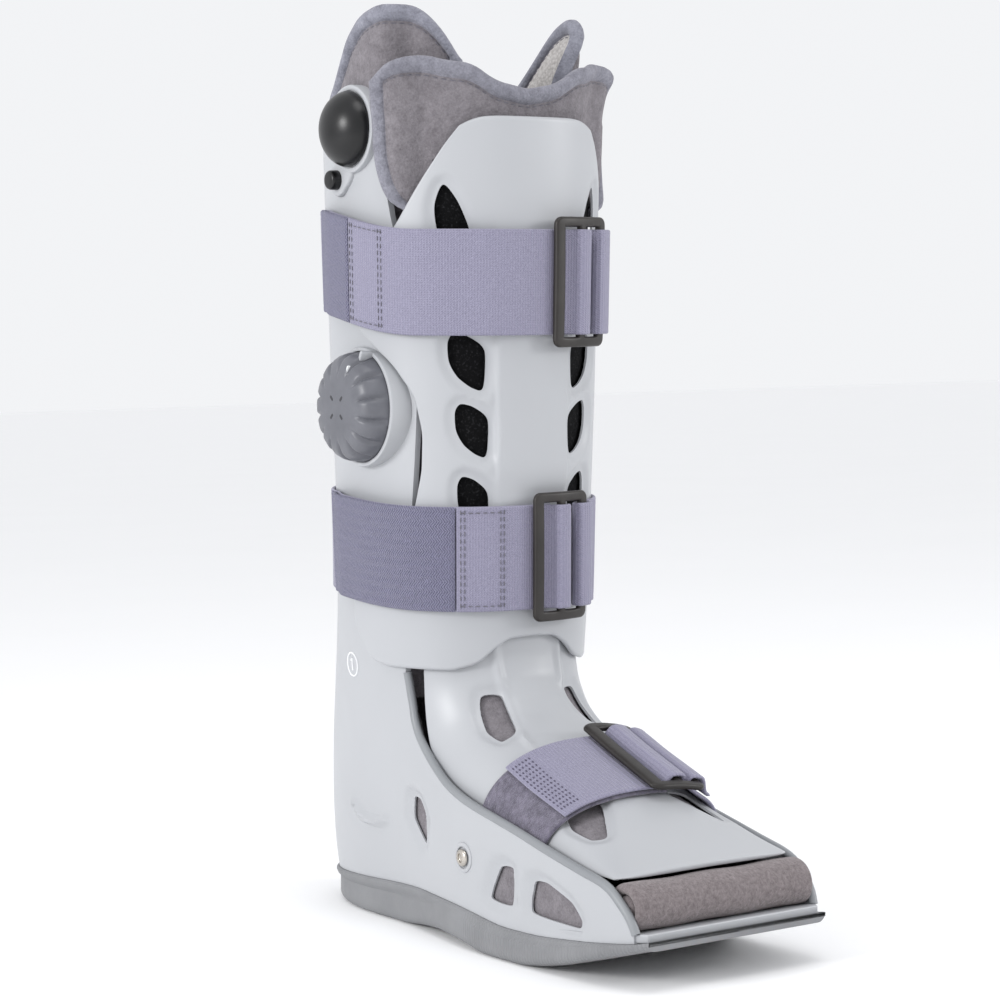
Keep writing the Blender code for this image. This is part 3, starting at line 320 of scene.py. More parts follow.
# Rear shell: a single moulding in pale blue-grey plastic: the cuff round the calf, the heel, the walls
# beside the foot and the tray under it. It has pierced windows and a rolled rim. A darker grey bead
# along the top edge of the foot walls is painted shade: it stands for the wall's edge seen in shade.
SHELL_WALL = 0.003
WALL_NOTCH = 0.1265
TRAY_FLOOR = 0.004
WALL_EDGE = [
    (0.968, 0.290), (0.954, 0.344), (0.912, 0.407), (0.876, 0.439), (0.788, 0.462), (0.661, 0.502),
    (0.539, 0.542), (0.396, 0.573), (0.300, 0.613), (0.242, 0.668), (0.203, 0.715), (0.147, 0.794),
    (0.124, 0.913), (0.115, 1.000),
]
CUFF_EDGE = [
    (-0.40, 0.370), (-0.54, 0.600), (-0.55, 0.700), (-0.50, 0.780), (-0.36, 0.860), (-0.33, 0.930),
    (-0.30, 0.965), (-0.22, 0.985), (-0.08, 1.000), (0.12, 0.996), (0.35, 0.978), (0.60, 0.962),
    (1.60, 0.956),
]
WINDOWS = {
    "ankle": [(0.142, 0.530), (0.138, 0.440), (0.198, 0.350), (0.196, 0.470), (0.170, 0.525)],
    "arch": [(0.516, 0.385), (0.565, 0.395), (0.565, 0.245), (0.470, 0.245)],
    "toe": [(0.640, 0.372), (0.685, 0.378), (0.770, 0.335), (0.805, 0.280), (0.800, 0.250), (0.622, 0.245)],
}


def leg_point(turn, z, proud=0.0):
    """A point on the shell round the leg: turn is 0 at the shin, in radians, and negative outwards."""
    turn, z = np.broadcast_arrays(np.asarray(turn, float), np.asarray(z, float))
    half, back, front = leg_sizes(z)
    depth = np.where(np.cos(turn) > 0.0, front, back)
    across = (np.abs(np.sin(turn)) / half) ** SQUARENESS + (np.abs(np.cos(turn)) / depth) ** SQUARENESS
    reach = across ** (-1.0 / SQUARENESS) + proud
    return np.stack([reach * np.sin(turn), -reach * np.cos(turn), z], axis=-1)


def cut_corners(line, rounds=2, closed=True, bite=0.25):
    """Rounds a line's corners by cutting each one off at a share of its sides."""
    line = np.asarray(line, float)
    for turn in range(rounds):
        bite = bite if turn == 0 else 0.25
        after = np.roll(line, -1, axis=0)
        pairs = np.stack([(1 - bite) * line + bite * after, bite * line + (1 - bite) * after], axis=1)
        pairs = pairs.reshape(-1, line.shape[1])
        line = pairs if closed else np.vstack([line[:1], pairs[1:-3], line[-1:]])
    return line


def distance_to(points, outline):
    """Distance of flat points from a closed outline, negative inside it."""
    points, a = np.asarray(points, float), np.asarray(outline, float)
    b = np.roll(a, -1, axis=0)
    best = np.full(len(points), 1e9)
    inside = np.zeros(len(points), int)
    for p, q in zip(a, b):
        along = q - p
        share = np.clip(((points - p) @ along) / max(along @ along, 1e-12), 0.0, 1.0)
        best = np.minimum(best, np.linalg.norm(points - p - share[:, None] * along, axis=1))
        crosses = (p[1] > points[:, 1]) != (q[1] > points[:, 1])
        rise = q[1] - p[1] if q[1] != p[1] else 1e-12
        inside += crosses & (points[:, 0] < (q[0] - p[0]) * (points[:, 1] - p[1]) / rise + p[0])
    return np.where(inside % 2 == 1, -best, best)


def skin(name, outer, inner, uv=None, marks=None):
    """A closed wall between two grids of points; marks hold a value for each outer and inner point."""
    outer, inner = np.asarray(outer, float), np.asarray(inner, float)
    rows, cols = outer.shape[:2]
    shift = rows * cols
    index = np.arange(shift).reshape(rows, cols)
    quads = np.stack([index[:-1, :-1], index[:-1, 1:], index[1:, 1:], index[1:, :-1]], axis=-1).reshape(-1, 4)
    rim = np.concatenate([index[0, :-1], index[:-1, -1], index[-1, :0:-1], index[:0:-1, 0]])
    after = np.roll(rim, -1)
    sides = np.stack([after, rim, rim + shift, after + shift], axis=1)
    faces = quads.tolist() + (quads[:, ::-1] + shift).tolist() + sides.tolist()
    points = np.concatenate([outer.reshape(-1, 3), inner.reshape(-1, 3)])
    uvs = None if uv is None else np.concatenate([np.asarray(uv).reshape(-1, 2)] * 2)
    piece = body_of_faces(name, points, faces, uvs)
    for key, (front, back) in (marks or {}).items():
        layer = piece.data.attributes.new(key, "FLOAT", "POINT")
        values = [np.broadcast_to(side, (rows, cols)).ravel() for side in (front, back)]
        layer.data.foreach_set("value", np.concatenate(values).astype(np.float32))
    return piece


def sunk_round(points, lines, depth, near, far):
    """How deep a face sinks towards the openings in it."""
    sunk = np.zeros(len(points))
    for line in lines:
        sunk = np.maximum(sunk, depth * (1.0 - ease(distance_to(points, line), near, far)))
    return sunk


def cut(body, tool, operation="DIFFERENCE"):
    """Applies a Boolean with a tool body, then removes the tool."""
    step = body.modifiers.new("cut", "BOOLEAN")
    step.operation = operation
    step.solver = "EXACT"
    step.object = tool
    graph = bpy.context.evaluated_depsgraph_get()
    done = bpy.data.meshes.new_from_object(body.evaluated_get(graph))
    body.modifiers.remove(step)
    body.data = done
    bpy.data.objects.remove(tool, do_unlink=True)
    shade(body.data)


def side_prism(name, outline, half_width=0.12):
    outline = np.asarray(outline, float)
    return loft(name, [[(x, y, z) for y, z in outline] for x in (-half_width, half_width)])


def edge_reach(z):
    """How far forward the side wall goes at a height."""
    cuff, wall = (CUFF_EDGE[:6], CUFF_HEIGHT, -LEG_BACK), (WALL_EDGE, WALL_NOTCH, FOOT_REACH)
    edge, tall, deep = cuff if z > WALL_NOTCH else wall
    return float(np.interp(z / tall, [row[1] for row in edge], [row[0] for row in edge])) * deep


def shell_ring(z, inset, reach, round_steps=38, side_steps=64):
    """The shell's U outline at a height, from the toe on the outer side round the heel."""
    half, back, _ = leg_sizes(z)
    y = -reach * (1.0 - np.arange(side_steps) / side_steps)
    side = np.stack([side_half_width(y, z) - inset, y], axis=1)
    turn = 0.5 * math.pi * np.arange(round_steps + 1) / round_steps
    heel = np.stack([(half - inset) * np.cos(turn).clip(0) ** (2 / SQUARENESS),
                     (back - inset) * np.sin(turn) ** (2 / SQUARENESS)], axis=1)
    side = np.vstack([side, heel])
    left = np.column_stack([-side[:, 0], side[:, 1], np.full(len(side), z)])
    right = np.column_stack([side[:, 0], side[:, 1], np.full(len(side), z)])
    return np.vstack([left, right[:-1][::-1]])


window_lines = {name: cut_corners([(-r * FOOT_REACH, h * WALL_NOTCH) for r, h in line], 3, bite=0.12)
                for name, line in WINDOWS.items()}
heights = np.concatenate([np.linspace(0.0, 0.135, 84), np.linspace(0.138, 1.01 * CUFF_HEIGHT, 72)])
outer = np.array([shell_ring(z, 0.0, edge_reach(z) + 0.012) for z in heights])
inner = np.array([shell_ring(z, SHELL_WALL, edge_reach(z) + 0.012) for z in heights])
flat = outer[..., 1:].reshape(-1, 2)
dish = sunk_round(flat, window_lines.values(), 0.0021, 0.0010, 0.0062)
side_on = (flat[:, 0] < 0.012) & (flat[:, 1] < WALL_NOTCH)
dish = np.where(side_on, dish, 0.0).reshape(outer.shape[:2])
smile = cut_corners([(0.028, 0.0550), (0.019, 0.0508), (0.010, 0.0487), (0.001, 0.0492), (-0.008, 0.0522),
                     (-0.0005, 0.0480), (0.010, 0.0470), (0.020, 0.0490)], 2)
ridge = 0.0022 * np.exp(-(np.maximum(distance_to(flat, smile), 0.0) / 0.0014) ** 2).reshape(outer.shape[:2])
outer[..., 0] -= np.sign(outer[..., 0]) * (dish - ridge)
shell = skin("rear_shell_moulding", outer, inner)
rim_line = [(-r * FOOT_REACH, h * WALL_NOTCH) for r, h in WALL_EDGE]
cuff_line = [(r * LEG_BACK, h * CUFF_HEIGHT) for r, h in CUFF_EDGE]
outline = cut_corners(rim_line + cuff_line, 2, closed=False).tolist()
heel_y = 0.41 * FOOT_REACH
outline.append((1.6 * LEG_BACK, float(joint_height(heel_y))))
for k in range(41):
    y = heel_y - (heel_y + 0.97 * FOOT_REACH) * k / 40
    outline.append((y, float(joint_height(y))))
cut(shell, side_prism("shell_outline", outline), "INTERSECT")
for name, line in window_lines.items():
    cut(shell, side_prism("window_" + name, line))
round_edges(shell, 0.0009, 3, 32.0)

floor_rings = []
for y in plan_stations(0.4 * SHELL_WALL, 14, 40):
    half, base = plan_half_width(y, 0.4 * SHELL_WALL), float(joint_height(y))
    low, high = base, base + TRAY_FLOOR
    floor_rings.append([(-half, y, low), (half, y, low), (half, y, high), (-half, y, high)])
tray = round_edges(loft("foot_tray", floor_rings), 0.0008)

shell_plastic = surface("moulded shell plastic", (0.37, 0.385, 0.405), 0.34,
                        [(9.0, 3.0), (0.415, 0.425, 0.445), (0.440, 0.450, 0.470)],
                        [((1500.0, 3.0), 0.10, 0.0002), ((26.0, 2.0), 0.06, 0.0015)],
                        [(60.0, 6.0), 0.30, 0.44], Specular_IOR_Level=0.45)
dress(shell, shell_plastic, "shell_plastic", "rear_shell")
dress(tray, shell_plastic, "shell_plastic")


def headings(line, closed=False):
    """The way a line runs at each of its points."""
    ahead = np.roll(line, -1, axis=0) if closed else np.vstack([line[1:], 2 * line[-1:] - line[-2:-1]])
    behind = np.roll(line, 1, axis=0) if closed else np.vstack([2 * line[:1] - line[1:2], line[:-1]])
    way = ahead - behind
    return way / np.linalg.norm(way, axis=1)[:, None]


def tube(name, line, radius, sides=10, closed=False):
    """A round bead of one radius along a line of upright points."""
    line = np.asarray(line, float)
    along = headings(line, closed)
    guide = np.array([0.31, 0.17, 0.93])
    first = np.cross(along, guide)
    first /= np.linalg.norm(first, axis=1)[:, None]
    second = np.cross(along, first)
    turns = 2 * math.pi * np.arange(sides) / sides
    size = np.broadcast_to(np.asarray(radius, float), (len(line),))[:, None, None]
    cos, sin = np.cos(turns)[None, :, None], np.sin(turns)[None, :, None]
    rings = line[:, None] + size * (cos * first[:, None] + sin * second[:, None])
    return loft(name, rings, closed)


def along_line(line, step):
    """A line's points again, evenly spaced."""
    line = np.asarray(line, float)
    lengths = np.concatenate([[0.0], np.cumsum(np.linalg.norm(np.diff(line, axis=0), axis=1))])
    at = np.linspace(0.0, lengths[-1], max(int(lengths[-1] / step), 2) + 1)
    return np.stack([np.interp(at, lengths, line[:, k]) for k in range(line.shape[1])], axis=1)


# Rim bead: a darker grey tube along the top edge of the foot walls. Its colour is painted shade for the
# wall's edge.
rim_shade_paint = surface("rim bead painted shade", (0.27, 0.285, 0.305), 0.42,
                       [(20.0,), (0.225, 0.235, 0.250), (0.260, 0.270, 0.285)],
                       [((1400.0, 3.0), 0.12, 0.0002)])
rim_run = along_line(cut_corners(rim_line, 2, closed=False), 0.003)
for name, side in (("outer", -1.0), ("inner", 1.0)):
    half = side_half_width(rim_run[:, 0], rim_run[:, 1]) - 0.5 * SHELL_WALL
    points = np.column_stack([side * half, rim_run[:, 0], rim_run[:, 1]])
    dress(tube("rim_shade_bead_" + name, points, 0.0021), rim_shade_paint, "shell_plastic")


# Air cell: a thin cell of black speckled foam glued inside the shin panel. It shows through the vents,
# where the shell has no wall of its own.
CELL_FOOT, CELL_TOP, CELL_WRAP, CELL_WALL = 0.174, 0.372, 45.0, 0.0016
SEAT_GAP = 0.0004
cell_turns = np.radians(np.linspace(-CELL_WRAP, CELL_WRAP, 81))[None, :]
cell_heights = np.linspace(CELL_FOOT, CELL_TOP, 141)[:, None]
quilt = 0.0003 * np.cos(cell_turns * 62.0) * np.cos(cell_heights * 900.0)
air_cell = skin("air_cell_foam", leg_point(cell_turns, cell_heights, -SEAT_GAP - 0.0003 + quilt),
                leg_point(cell_turns, cell_heights, -SEAT_GAP - CELL_WALL))
cell_foam = surface("speckled cell foam", (0.004, 0.004, 0.004), 0.85,
                    [(900.0, 2.0), (0.0025, 0.0025, 0.003), (0.022, 0.022, 0.024), 0.55, 0.75],
                    [((700.0, 4.0), 0.6, 0.0006)], Specular_IOR_Level=0.12)
dress(air_cell, cell_foam, "foam", "air_cell")


# Leg liner: a 7 mm wall of brushed felt round the sides and the back of the leg. Its two ears stand
# above the cuff, bound at the edge with a padded tape and faced inside with loop knit.
FELT_WALL = 0.007
PAD_WALL = 0.0065
LINING_GAP = 0.0009
EAR_TOP, LINER_FOOT, KNIT_FOOT = 0.4455, 0.1125, 0.30
LINER_START, LINER_WRAP = 32.0, 296.0
TUCK = PAD_WALL + CELL_WALL + 2.0 * LINING_GAP
BEAD = 0.0078
EAR_LINE = [
    (32, 0.880), (50, 0.893), (58, 0.912), (63, 0.945), (68, 0.978), (74, 0.996), (80, 1.000), (90, 0.990),
    (98, 0.972), (109, 0.944), (118, 0.922), (130, 0.909), (154, 0.905), (206, 0.905), (230, 0.909),
    (242, 0.922), (251, 0.944), (262, 0.970), (276, 0.991), (288, 1.000), (300, 1.000), (308, 0.992),
    (316, 0.976), (322, 0.958), (328, 0.938),
]
EAR_FLARE = [(0.0, 0.0), (0.925, 0.0), (0.96, 0.25), (1.0, 0.55)]
EDGE_STEPS = np.array([0.0, 0.0003, 0.0009, 0.0018, 0.003, 0.0043, 0.0056, 0.0066, 0.0073, 0.0077, 0.0081,
                       0.0088, 0.0102, 0.0125, 0.0155])


def spaced(length, count, first=True, last=True):
    """Distances along a felt piece, close together at its bound edges: one column for each length."""
    length = np.atleast_1d(np.asarray(length, float))[None, :]
    start = EDGE_STEPS[:, None] + 0.0 * length if first else 0.0 * length
    stop = length - EDGE_STEPS[::-1, None] if last else length
    middle = start[-1:] + (stop[:1] - start[-1:]) * np.linspace(0.0, 1.0, count + 2)[1:-1, None]
    return np.concatenate([start, middle, stop])


def felt_body(gap):
    """Half thickness over its full size at a distance from the edge: bead, seam, then the soft body."""
    bead = 0.16 + 0.92 * np.sqrt(np.clip(1.0 - (2.0 * gap / BEAD - 1.0) ** 2, 0.0, 1.0))
    body = 0.34 + 0.56 * (1.0 - np.exp(-np.maximum(gap - BEAD, 0.0) / 0.0035))
    bead = np.where(gap > 0.5 * BEAD, np.maximum(bead, 0.34), bead)
    return np.where(gap < BEAD, bead, body)


def felt_wave(turn, z):
    """The small unevenness of soft felt, in metres."""
    return 0.00035 * (np.sin(7.0 * turn + 41.0 * z) + np.sin(3.0 * turn - 67.0 * z + 1.3) * 0.7)


def liner_middle(degrees, z):
    turn = np.minimum(degrees, 360.0 - degrees)
    tucked = 1.0 - ease(turn, 58.0, 72.0)
    flare = read(EAR_FLARE, z / EAR_TOP, 1, 0.015) * FELT_WALL
    return -SHELL_WALL - LINING_GAP + flare - TUCK * tucked - 0.5 * FELT_WALL


liner_run = math.radians(LINER_WRAP) * LEG_HALF_WIDTH
across = spaced(liner_run, 120)[:, 0]
degrees = (LINER_START + np.degrees(across / LEG_HALF_WIDTH))[None, :]
ear_top = (read(EAR_LINE, degrees, 1, 3.0) * EAR_TOP)[0]
z = LINER_FOOT + spaced(ear_top - LINER_FOOT, 90, first=False)
gap = np.minimum(np.minimum(across, liner_run - across)[None, :], ear_top[None, :] - z)
middle = liner_middle(degrees, z) + felt_wave(np.radians(degrees), z) * (z > CUFF_HEIGHT * 0.97)
half = 0.5 * FELT_WALL * felt_body(gap)
bound = 1.0 - ease(gap, BEAD - 0.0002, BEAD + 0.0002)
knit = (1.0 - bound) * ease(z, KNIT_FOOT, KNIT_FOOT + 0.01)
leg_liner = skin("leg_liner_felt", leg_point(np.radians(degrees), z, middle + half),
                 leg_point(np.radians(degrees), z, middle - half),
                 marks={"binding": (bound, bound), "knit": (0.0, knit)})

felt, tree, shader = material("brushed felt", (0.30, 0.285, 0.30), 0.95, Specular_IOR_Level=0.12,
                              Sheen_Weight=0.22, Sheen_Roughness=0.6, Sheen_Tint=(0.75, 0.72, 0.74, 1.0))
soft = maths(tree, "ADD", noise(tree, 950.0, 4.0, 0.7), noise(tree, 210.0, 4.0, 0.6))
soft = maths(tree, "MULTIPLY", soft, 0.5)
place = add(tree, "ShaderNodeTexCoord").outputs["Object"]
loops = add(tree, "ShaderNodeTexVoronoi", {"Vector": place, "Scale": 620.0}).outputs["Distance"]
felt_colour = shades(tree, soft, (0.130, 0.119, 0.130), (0.245, 0.229, 0.246), 0.34, 0.66)
knit_colour = shades(tree, loops, (0.62, 0.60, 0.585), (0.34, 0.32, 0.31), 0.0, 1.0)
tape_colour = shades(tree, soft, (0.150, 0.152, 0.185), (0.285, 0.290, 0.340), 0.36, 0.64)
for mark, colour in (("knit", knit_colour), ("binding", tape_colour)):
    where = add(tree, "ShaderNodeAttribute", attribute_name=mark).outputs["Fac"]
    mix = add(tree, "ShaderNodeMix", {"Factor": where}, data_type="RGBA")
    tree.links.new(felt_colour, mix.inputs[6])
    tree.links.new(colour, mix.inputs[7])
    felt_colour = mix.outputs[2]
tree.links.new(felt_colour, shader.inputs["Base Color"])
emboss(tree, shader, [(noise(tree, 1300.0, 3.0, 0.7, (1.0, 0.35, 1.0)), 0.7, 0.0006),
                      (noise(tree, 260.0, 5.0, 0.65), 0.55, 0.0012), (loops, 0.25, 0.0006)])
dress(leg_liner, felt, "felt", "leg_liner")


def stitches(name, lines, length=0.0028, space=0.0013, radius=0.00032):
    """Rows of short thread stitches that lie along lines of upright points."""
    points, faces = [], []
    for line in lines:
        run = along_line(line, 0.5 * (length + space))
        for k in range(0, len(run) - 1, 2):
            start, stop = run[k], run[k] + (run[k + 1] - run[k]) * min(2.0 * length / (length + space), 1.9)
            along = (stop - start) / max(np.linalg.norm(stop - start), 1e-9)
            side = np.cross(along, [0.31, 0.17, 0.93])
            side /= np.linalg.norm(side)
            up = np.cross(along, side)
            base = len(points)
            for share, size in ((0.0, 0.35), (0.25, 1.0), (0.75, 1.0), (1.0, 0.35)):
                for j in range(6):
                    turn = j * math.pi / 3.0
                    off = size * radius * (math.cos(turn) * side + math.sin(turn) * up)
                    points.append(start + (stop - start) * share + off)
            faces += [tuple(base + corner for corner in face) for face in ring_faces(4, 6)]
            faces.append(tuple(range(base, base + 6))[::-1])
            faces.append(tuple(range(base + 18, base + 24)))
    return body_of_faces(name, points, faces)


thread = surface("seam thread", (0.28, 0.28, 0.33), 0.75,
                 [(600.0,), (0.085, 0.082, 0.10), (0.15, 0.145, 0.175)],
                 [((2500.0, 2.0), 0.4, 0.0002)], Sheen_Weight=0.2)
seam = BEAD + 0.0012
EAR_SEAMS = ((34.5, 118.0), (242.0, 325.5))
seam_lines = []
for start, stop in EAR_SEAMS:
    round_turn = np.linspace(start, stop, 120)
    line_top = read(EAR_LINE, round_turn, 1, 3.0) * EAR_TOP - seam
    centre = liner_middle(round_turn, line_top) + felt_wave(np.radians(round_turn), line_top)
    reach = 0.5 * FELT_WALL * float(felt_body(np.array(seam)))
    seam_lines.append(leg_point(np.radians(round_turn), line_top, centre + reach))
    seam_lines.append(leg_point(np.radians(round_turn), line_top, centre - reach))
dress(stitches("liner_seam_stitches", seam_lines), thread, "felt")


# Front pad: the padded tongue over the shin, one piece of felt with a bound rim. It lies inside the
# shin panel, and its two upper lobes pass outside the shell.
PANEL_WALL, PANEL_GAP, PANEL_TOP = 0.003, 0.0008, 0.3925
INSTEP_RISE = 0.170
PAD_TOP, PAD_FLARE, PAD_RUN = 0.428, 0.006, 0.166
PAD_SIDE = [(0.36, 47), (0.80, 47), (0.815, 60), (0.835, 66), (0.87, 70), (0.93, 71), (0.97, 69), (1.00, 64)]
PAD_CROWN = [
    (0.00, 0.948), (0.26, 0.956), (0.42, 0.975), (0.56, 0.976), (0.74, 0.984), (0.90, 0.977), (1.00, 0.948),
]


def pad_middle(turn, z):
    lobe = ease(np.abs(turn), math.radians(48), math.radians(62))
    inside = -SEAT_GAP - CELL_WALL - LINING_GAP
    flare = PAD_FLARE * ease(z, PANEL_TOP, PAD_TOP)
    return inside + (LINING_GAP - inside + PAD_WALL) * lobe + flare - 0.5 * PAD_WALL


def pad_place(share, up_from_top):
    """Turn and height on the pad: share of its wrap, and a distance below its top edge."""
    crown = read(PAD_CROWN, np.abs(share), 1, 0.07) * PAD_TOP
    z = crown - up_from_top
    return share * np.radians(read(PAD_SIDE, z / PAD_TOP, 1, 0.012)), z


across = spaced(PAD_RUN, 90)[:, 0]
share = (2.0 * across / PAD_RUN - 1.0)[None, :]
crown = (read(PAD_CROWN, np.abs(share), 1, 0.07) * PAD_TOP)[0]
below = spaced(crown - CELL_FOOT, 90, last=False)
turn, z = pad_place(share, below)
gap = np.minimum(np.minimum(across, PAD_RUN - across)[None, :], below)
middle = pad_middle(turn, z) + felt_wave(turn, z) * (z > PANEL_TOP)
half = 0.5 * PAD_WALL * felt_body(gap)
bound = 0.8 * (1.0 - ease(gap, BEAD - 0.0002, BEAD + 0.0002))
front_pad = skin("front_pad_felt", leg_point(turn, z, middle + half), leg_point(turn, z, middle - half),
                 marks={"binding": (bound, bound), "knit": (0.0, 0.0)})
dress(front_pad, felt, "felt", "front_pad")
round_share = np.linspace(-0.93, 0.93, 260)
pad_turn, pad_z = pad_place(round_share, seam)
reach = 0.5 * PAD_WALL * float(felt_body(np.array(seam)))
centre = pad_middle(pad_turn, pad_z) + felt_wave(pad_turn, pad_z)
pad_lines = [leg_point(pad_turn, pad_z, centre + side * reach) for side in (-1.0, 1.0)]
dress(stitches("pad_seam_stitches", pad_lines), thread, "felt")


# Shin panel: a bowed plate of the same plastic, laid over the front of the shell and held by the two
# leg straps. Its middle is a raised flat, its hem is arched, and it has four soft vents a side.
PANEL_HEM, PANEL_WRAP, PANEL_RADIUS = 0.145, math.radians(98), 0.064
PLATEAU_RISE, PLATEAU_HALF = 0.0016, math.radians(17)
PANEL_SIDE = [
    (0.330, 0.98), (0.400, 1.00), (0.440, 0.94), (0.480, 0.66), (0.510, 0.56), (0.573, 0.51),
    (0.620, 0.505), (0.665, 0.54), (0.704, 0.65), (0.746, 0.86), (0.775, 0.90), (0.830, 0.74),
    (0.870, 0.62), (0.920, 0.51), (0.968, 0.40), (1.000, 0.31),
]
PANEL_HEM_LINE = [
    (0.00, 1.000), (0.12, 0.995), (0.19, 0.965), (0.27, 0.915), (0.38, 0.893), (0.75, 0.890),
    (0.88, 0.905), (0.96, 0.960), (1.00, 1.040),
]
SHIN_VENTS = [
    ("tall", 0.873, 0.050, 28.5, 44.5), ("leaf", 0.705, 0.0362, 22.4, 39.0),
    ("leaf", 0.622, 0.034, 21.0, 36.0), ("leaf", 0.530, 0.038, 21.0, 35.0),
]
VENT_OUTLINES = {
    "leaf": [(0.05, -1.0), (0.0, 0.35), (0.15, 0.62), (0.5, 0.9), (0.85, 1.0), (1.0, 0.7), (0.97, 0.0),
             (0.75, -0.5), (0.4, -0.85)],
    "tall": [(0.0, -1.0), (0.0, -0.3), (0.35, 0.5), (0.75, 1.0), (1.0, 0.4), (0.9, -0.3), (0.5, -1.0)],
}
RIM_STEPS = np.array([0.0, 0.0002, 0.0006, 0.0011, 0.0017, 0.0024])


def fullness(gap, size, least=0.0):
    """Share of the full thickness at a distance from a rounded edge."""
    return np.sqrt(np.clip(1.0 - (1.0 - np.clip(gap / size, 0.0, 1.0)) ** 2, least, 1.0))


def moulded_edge(gap):
    """How far the face of a moulded plate draws back at a distance from its rim."""
    return 0.5 * PANEL_WALL * (1.0 - fullness(gap, 0.0016))


def between_rims(size, first, last, count, end=1.0):
    """Shares across a plate of a size, close together at both of its rims."""
    return np.concatenate([RIM_STEPS / size, np.linspace(first, last, count), end - RIM_STEPS[::-1] / size])


def panel_proud(turn, z):
    middle = 1.0 - ease(np.abs(turn), PLATEAU_HALF, 1.14 * PLATEAU_HALF)
    along = ease(z, 0.54 * PANEL_TOP, 0.58 * PANEL_TOP) * (1.0 - ease(z, 0.82 * PANEL_TOP, 0.89 * PANEL_TOP))
    return PANEL_GAP + PLATEAU_RISE * middle * along


vent_lines = []
for shape, centre, tall, near, far in SHIN_VENTS:
    for side in (-1, 1):
        corners = [(side * math.radians(near + (far - near) * a), PANEL_TOP * (centre + tall * b))
                   for a, b in VENT_OUTLINES[shape]]
        vent_lines.append(cut_corners(corners, 3, bite=0.2))
share = (between_rims(0.09, 0.05, 1.95, 150, 2.0) - 1.0)[None, :]
up = between_rims(0.25, 0.012, 0.988, 170)[:, None]
hem = read(PANEL_HEM_LINE, np.abs(share), 1, 0.02) * PANEL_HEM
crown = PANEL_TOP * (1.0 - 0.012 * np.abs(share) ** 8)
z = hem + (crown - hem) * up
turn = share * read(PANEL_SIDE, z / PANEL_TOP, 1, 0.009) * PANEL_WRAP
spread = np.array([PANEL_RADIUS, 1.0])
flat = (np.stack([turn, z], axis=-1) * spread).reshape(-1, 2)
dish = sunk_round(flat, [line * spread for line in vent_lines], 0.0020, 0.0010, 0.0058).reshape(turn.shape)
gap = np.minimum((1.0 - np.abs(share)) * 0.09, np.minimum(up, 1.0 - up) * 0.25)
draw = moulded_edge(gap)
back = panel_proud(turn, z)
front_panel = skin("shin_panel_moulding", leg_point(turn, z, back + PANEL_WALL - draw - dish),
                   leg_point(turn, z, back + draw))
for index, line in enumerate(vent_lines):
    rings = [leg_point(line[:, 0], line[:, 1], proud) for proud in (-0.004, 0.010)]
    cut(front_panel, loft("shin_vent_%d" % index, rings))
dress(front_panel, shell_plastic, "shell_plastic", "front_panel")


# Foot lining: a felt cup round the heel and the sides of the foot, and a felt insole on the tray
# floor. Both are laid in loose, and the cup shows through the windows of the shell.
FOOT_FELT, INSOLE_WALL = 0.006, 0.006
CUP_TOP = [
    (-0.50, 0.870), (0.110, 0.870), (0.150, 0.690), (0.205, 0.600), (0.260, 0.575), (0.345, 0.545),
    (0.500, 0.480), (0.660, 0.430), (0.800, 0.410), (0.850, 0.400),
]


def cup_grid(inset, ups):
    """The cup's face: it stands on the tray floor and ends at its top line."""
    reach = CUP_TOP[-1][0] * FOOT_REACH
    flat_ring = shell_ring(SOLE_HEIGHT, float(np.min(inset)), reach)
    y = flat_ring[:, 1]
    low = joint_height(y) + TRAY_FLOOR + SEAT_GAP
    high = read(CUP_TOP, -y / FOOT_REACH, 1, 0.02) * WALL_NOTCH
    grid = []
    for up in ups:
        z = low + (high - low) * up
        size = np.interp(up, ups, inset)
        grid.append([shell_ring(height, size, reach)[k] for k, height in enumerate(z)])
    return np.array(grid)


cup_ups = np.array([0.0, 0.1, 0.2, 0.3, 0.4, 0.5, 0.6, 0.7, 0.8, 0.88, 0.94, 0.975, 0.993, 1.0])
cup_draw = 0.5 * FOOT_FELT * np.array([0.0] * 10 + [0.05, 0.2, 0.5, 0.85])
cup_near = SHELL_WALL + LINING_GAP
cup_outer = cup_grid(cup_near + cup_draw, cup_ups)
cup_inner = cup_grid(cup_near + FOOT_FELT - cup_draw, cup_ups)
foot_liner = skin("foot_liner_felt", cup_outer, cup_inner)
dress(foot_liner, felt, "felt", "foot_liner")

insole_inset = SHELL_WALL + FOOT_FELT + 2.0 * LINING_GAP
insole_rings = []
for y in plan_stations(insole_inset, 16, 50):
    if -y > CUP_TOP[-1][0] * FOOT_REACH:
        continue
    half = plan_half_width(y, insole_inset)
    low = float(joint_height(y)) + TRAY_FLOOR + SEAT_GAP
    ring = []
    for k in range(13):
        turn = math.pi * (k / 12 - 0.5)
        ring.append((half - 0.5 * INSOLE_WALL * (1.0 - math.cos(turn)),
                     low + 0.5 * INSOLE_WALL * (1.0 + math.sin(turn))))
    ring += [(x * half * 0.9, low + INSOLE_WALL + 0.0004 * (1.0 - x * x)) for x in (0.8, 0.5, 0.25, 0.0)]
    right = [(x, y, z) for x, z in ring]
    insole_rings.append(right + [(-x, y, z) for x, z in ring[-2::-1]])
insole = loft("insole_felt", insole_rings)
dress(insole, felt, "felt", "insole")


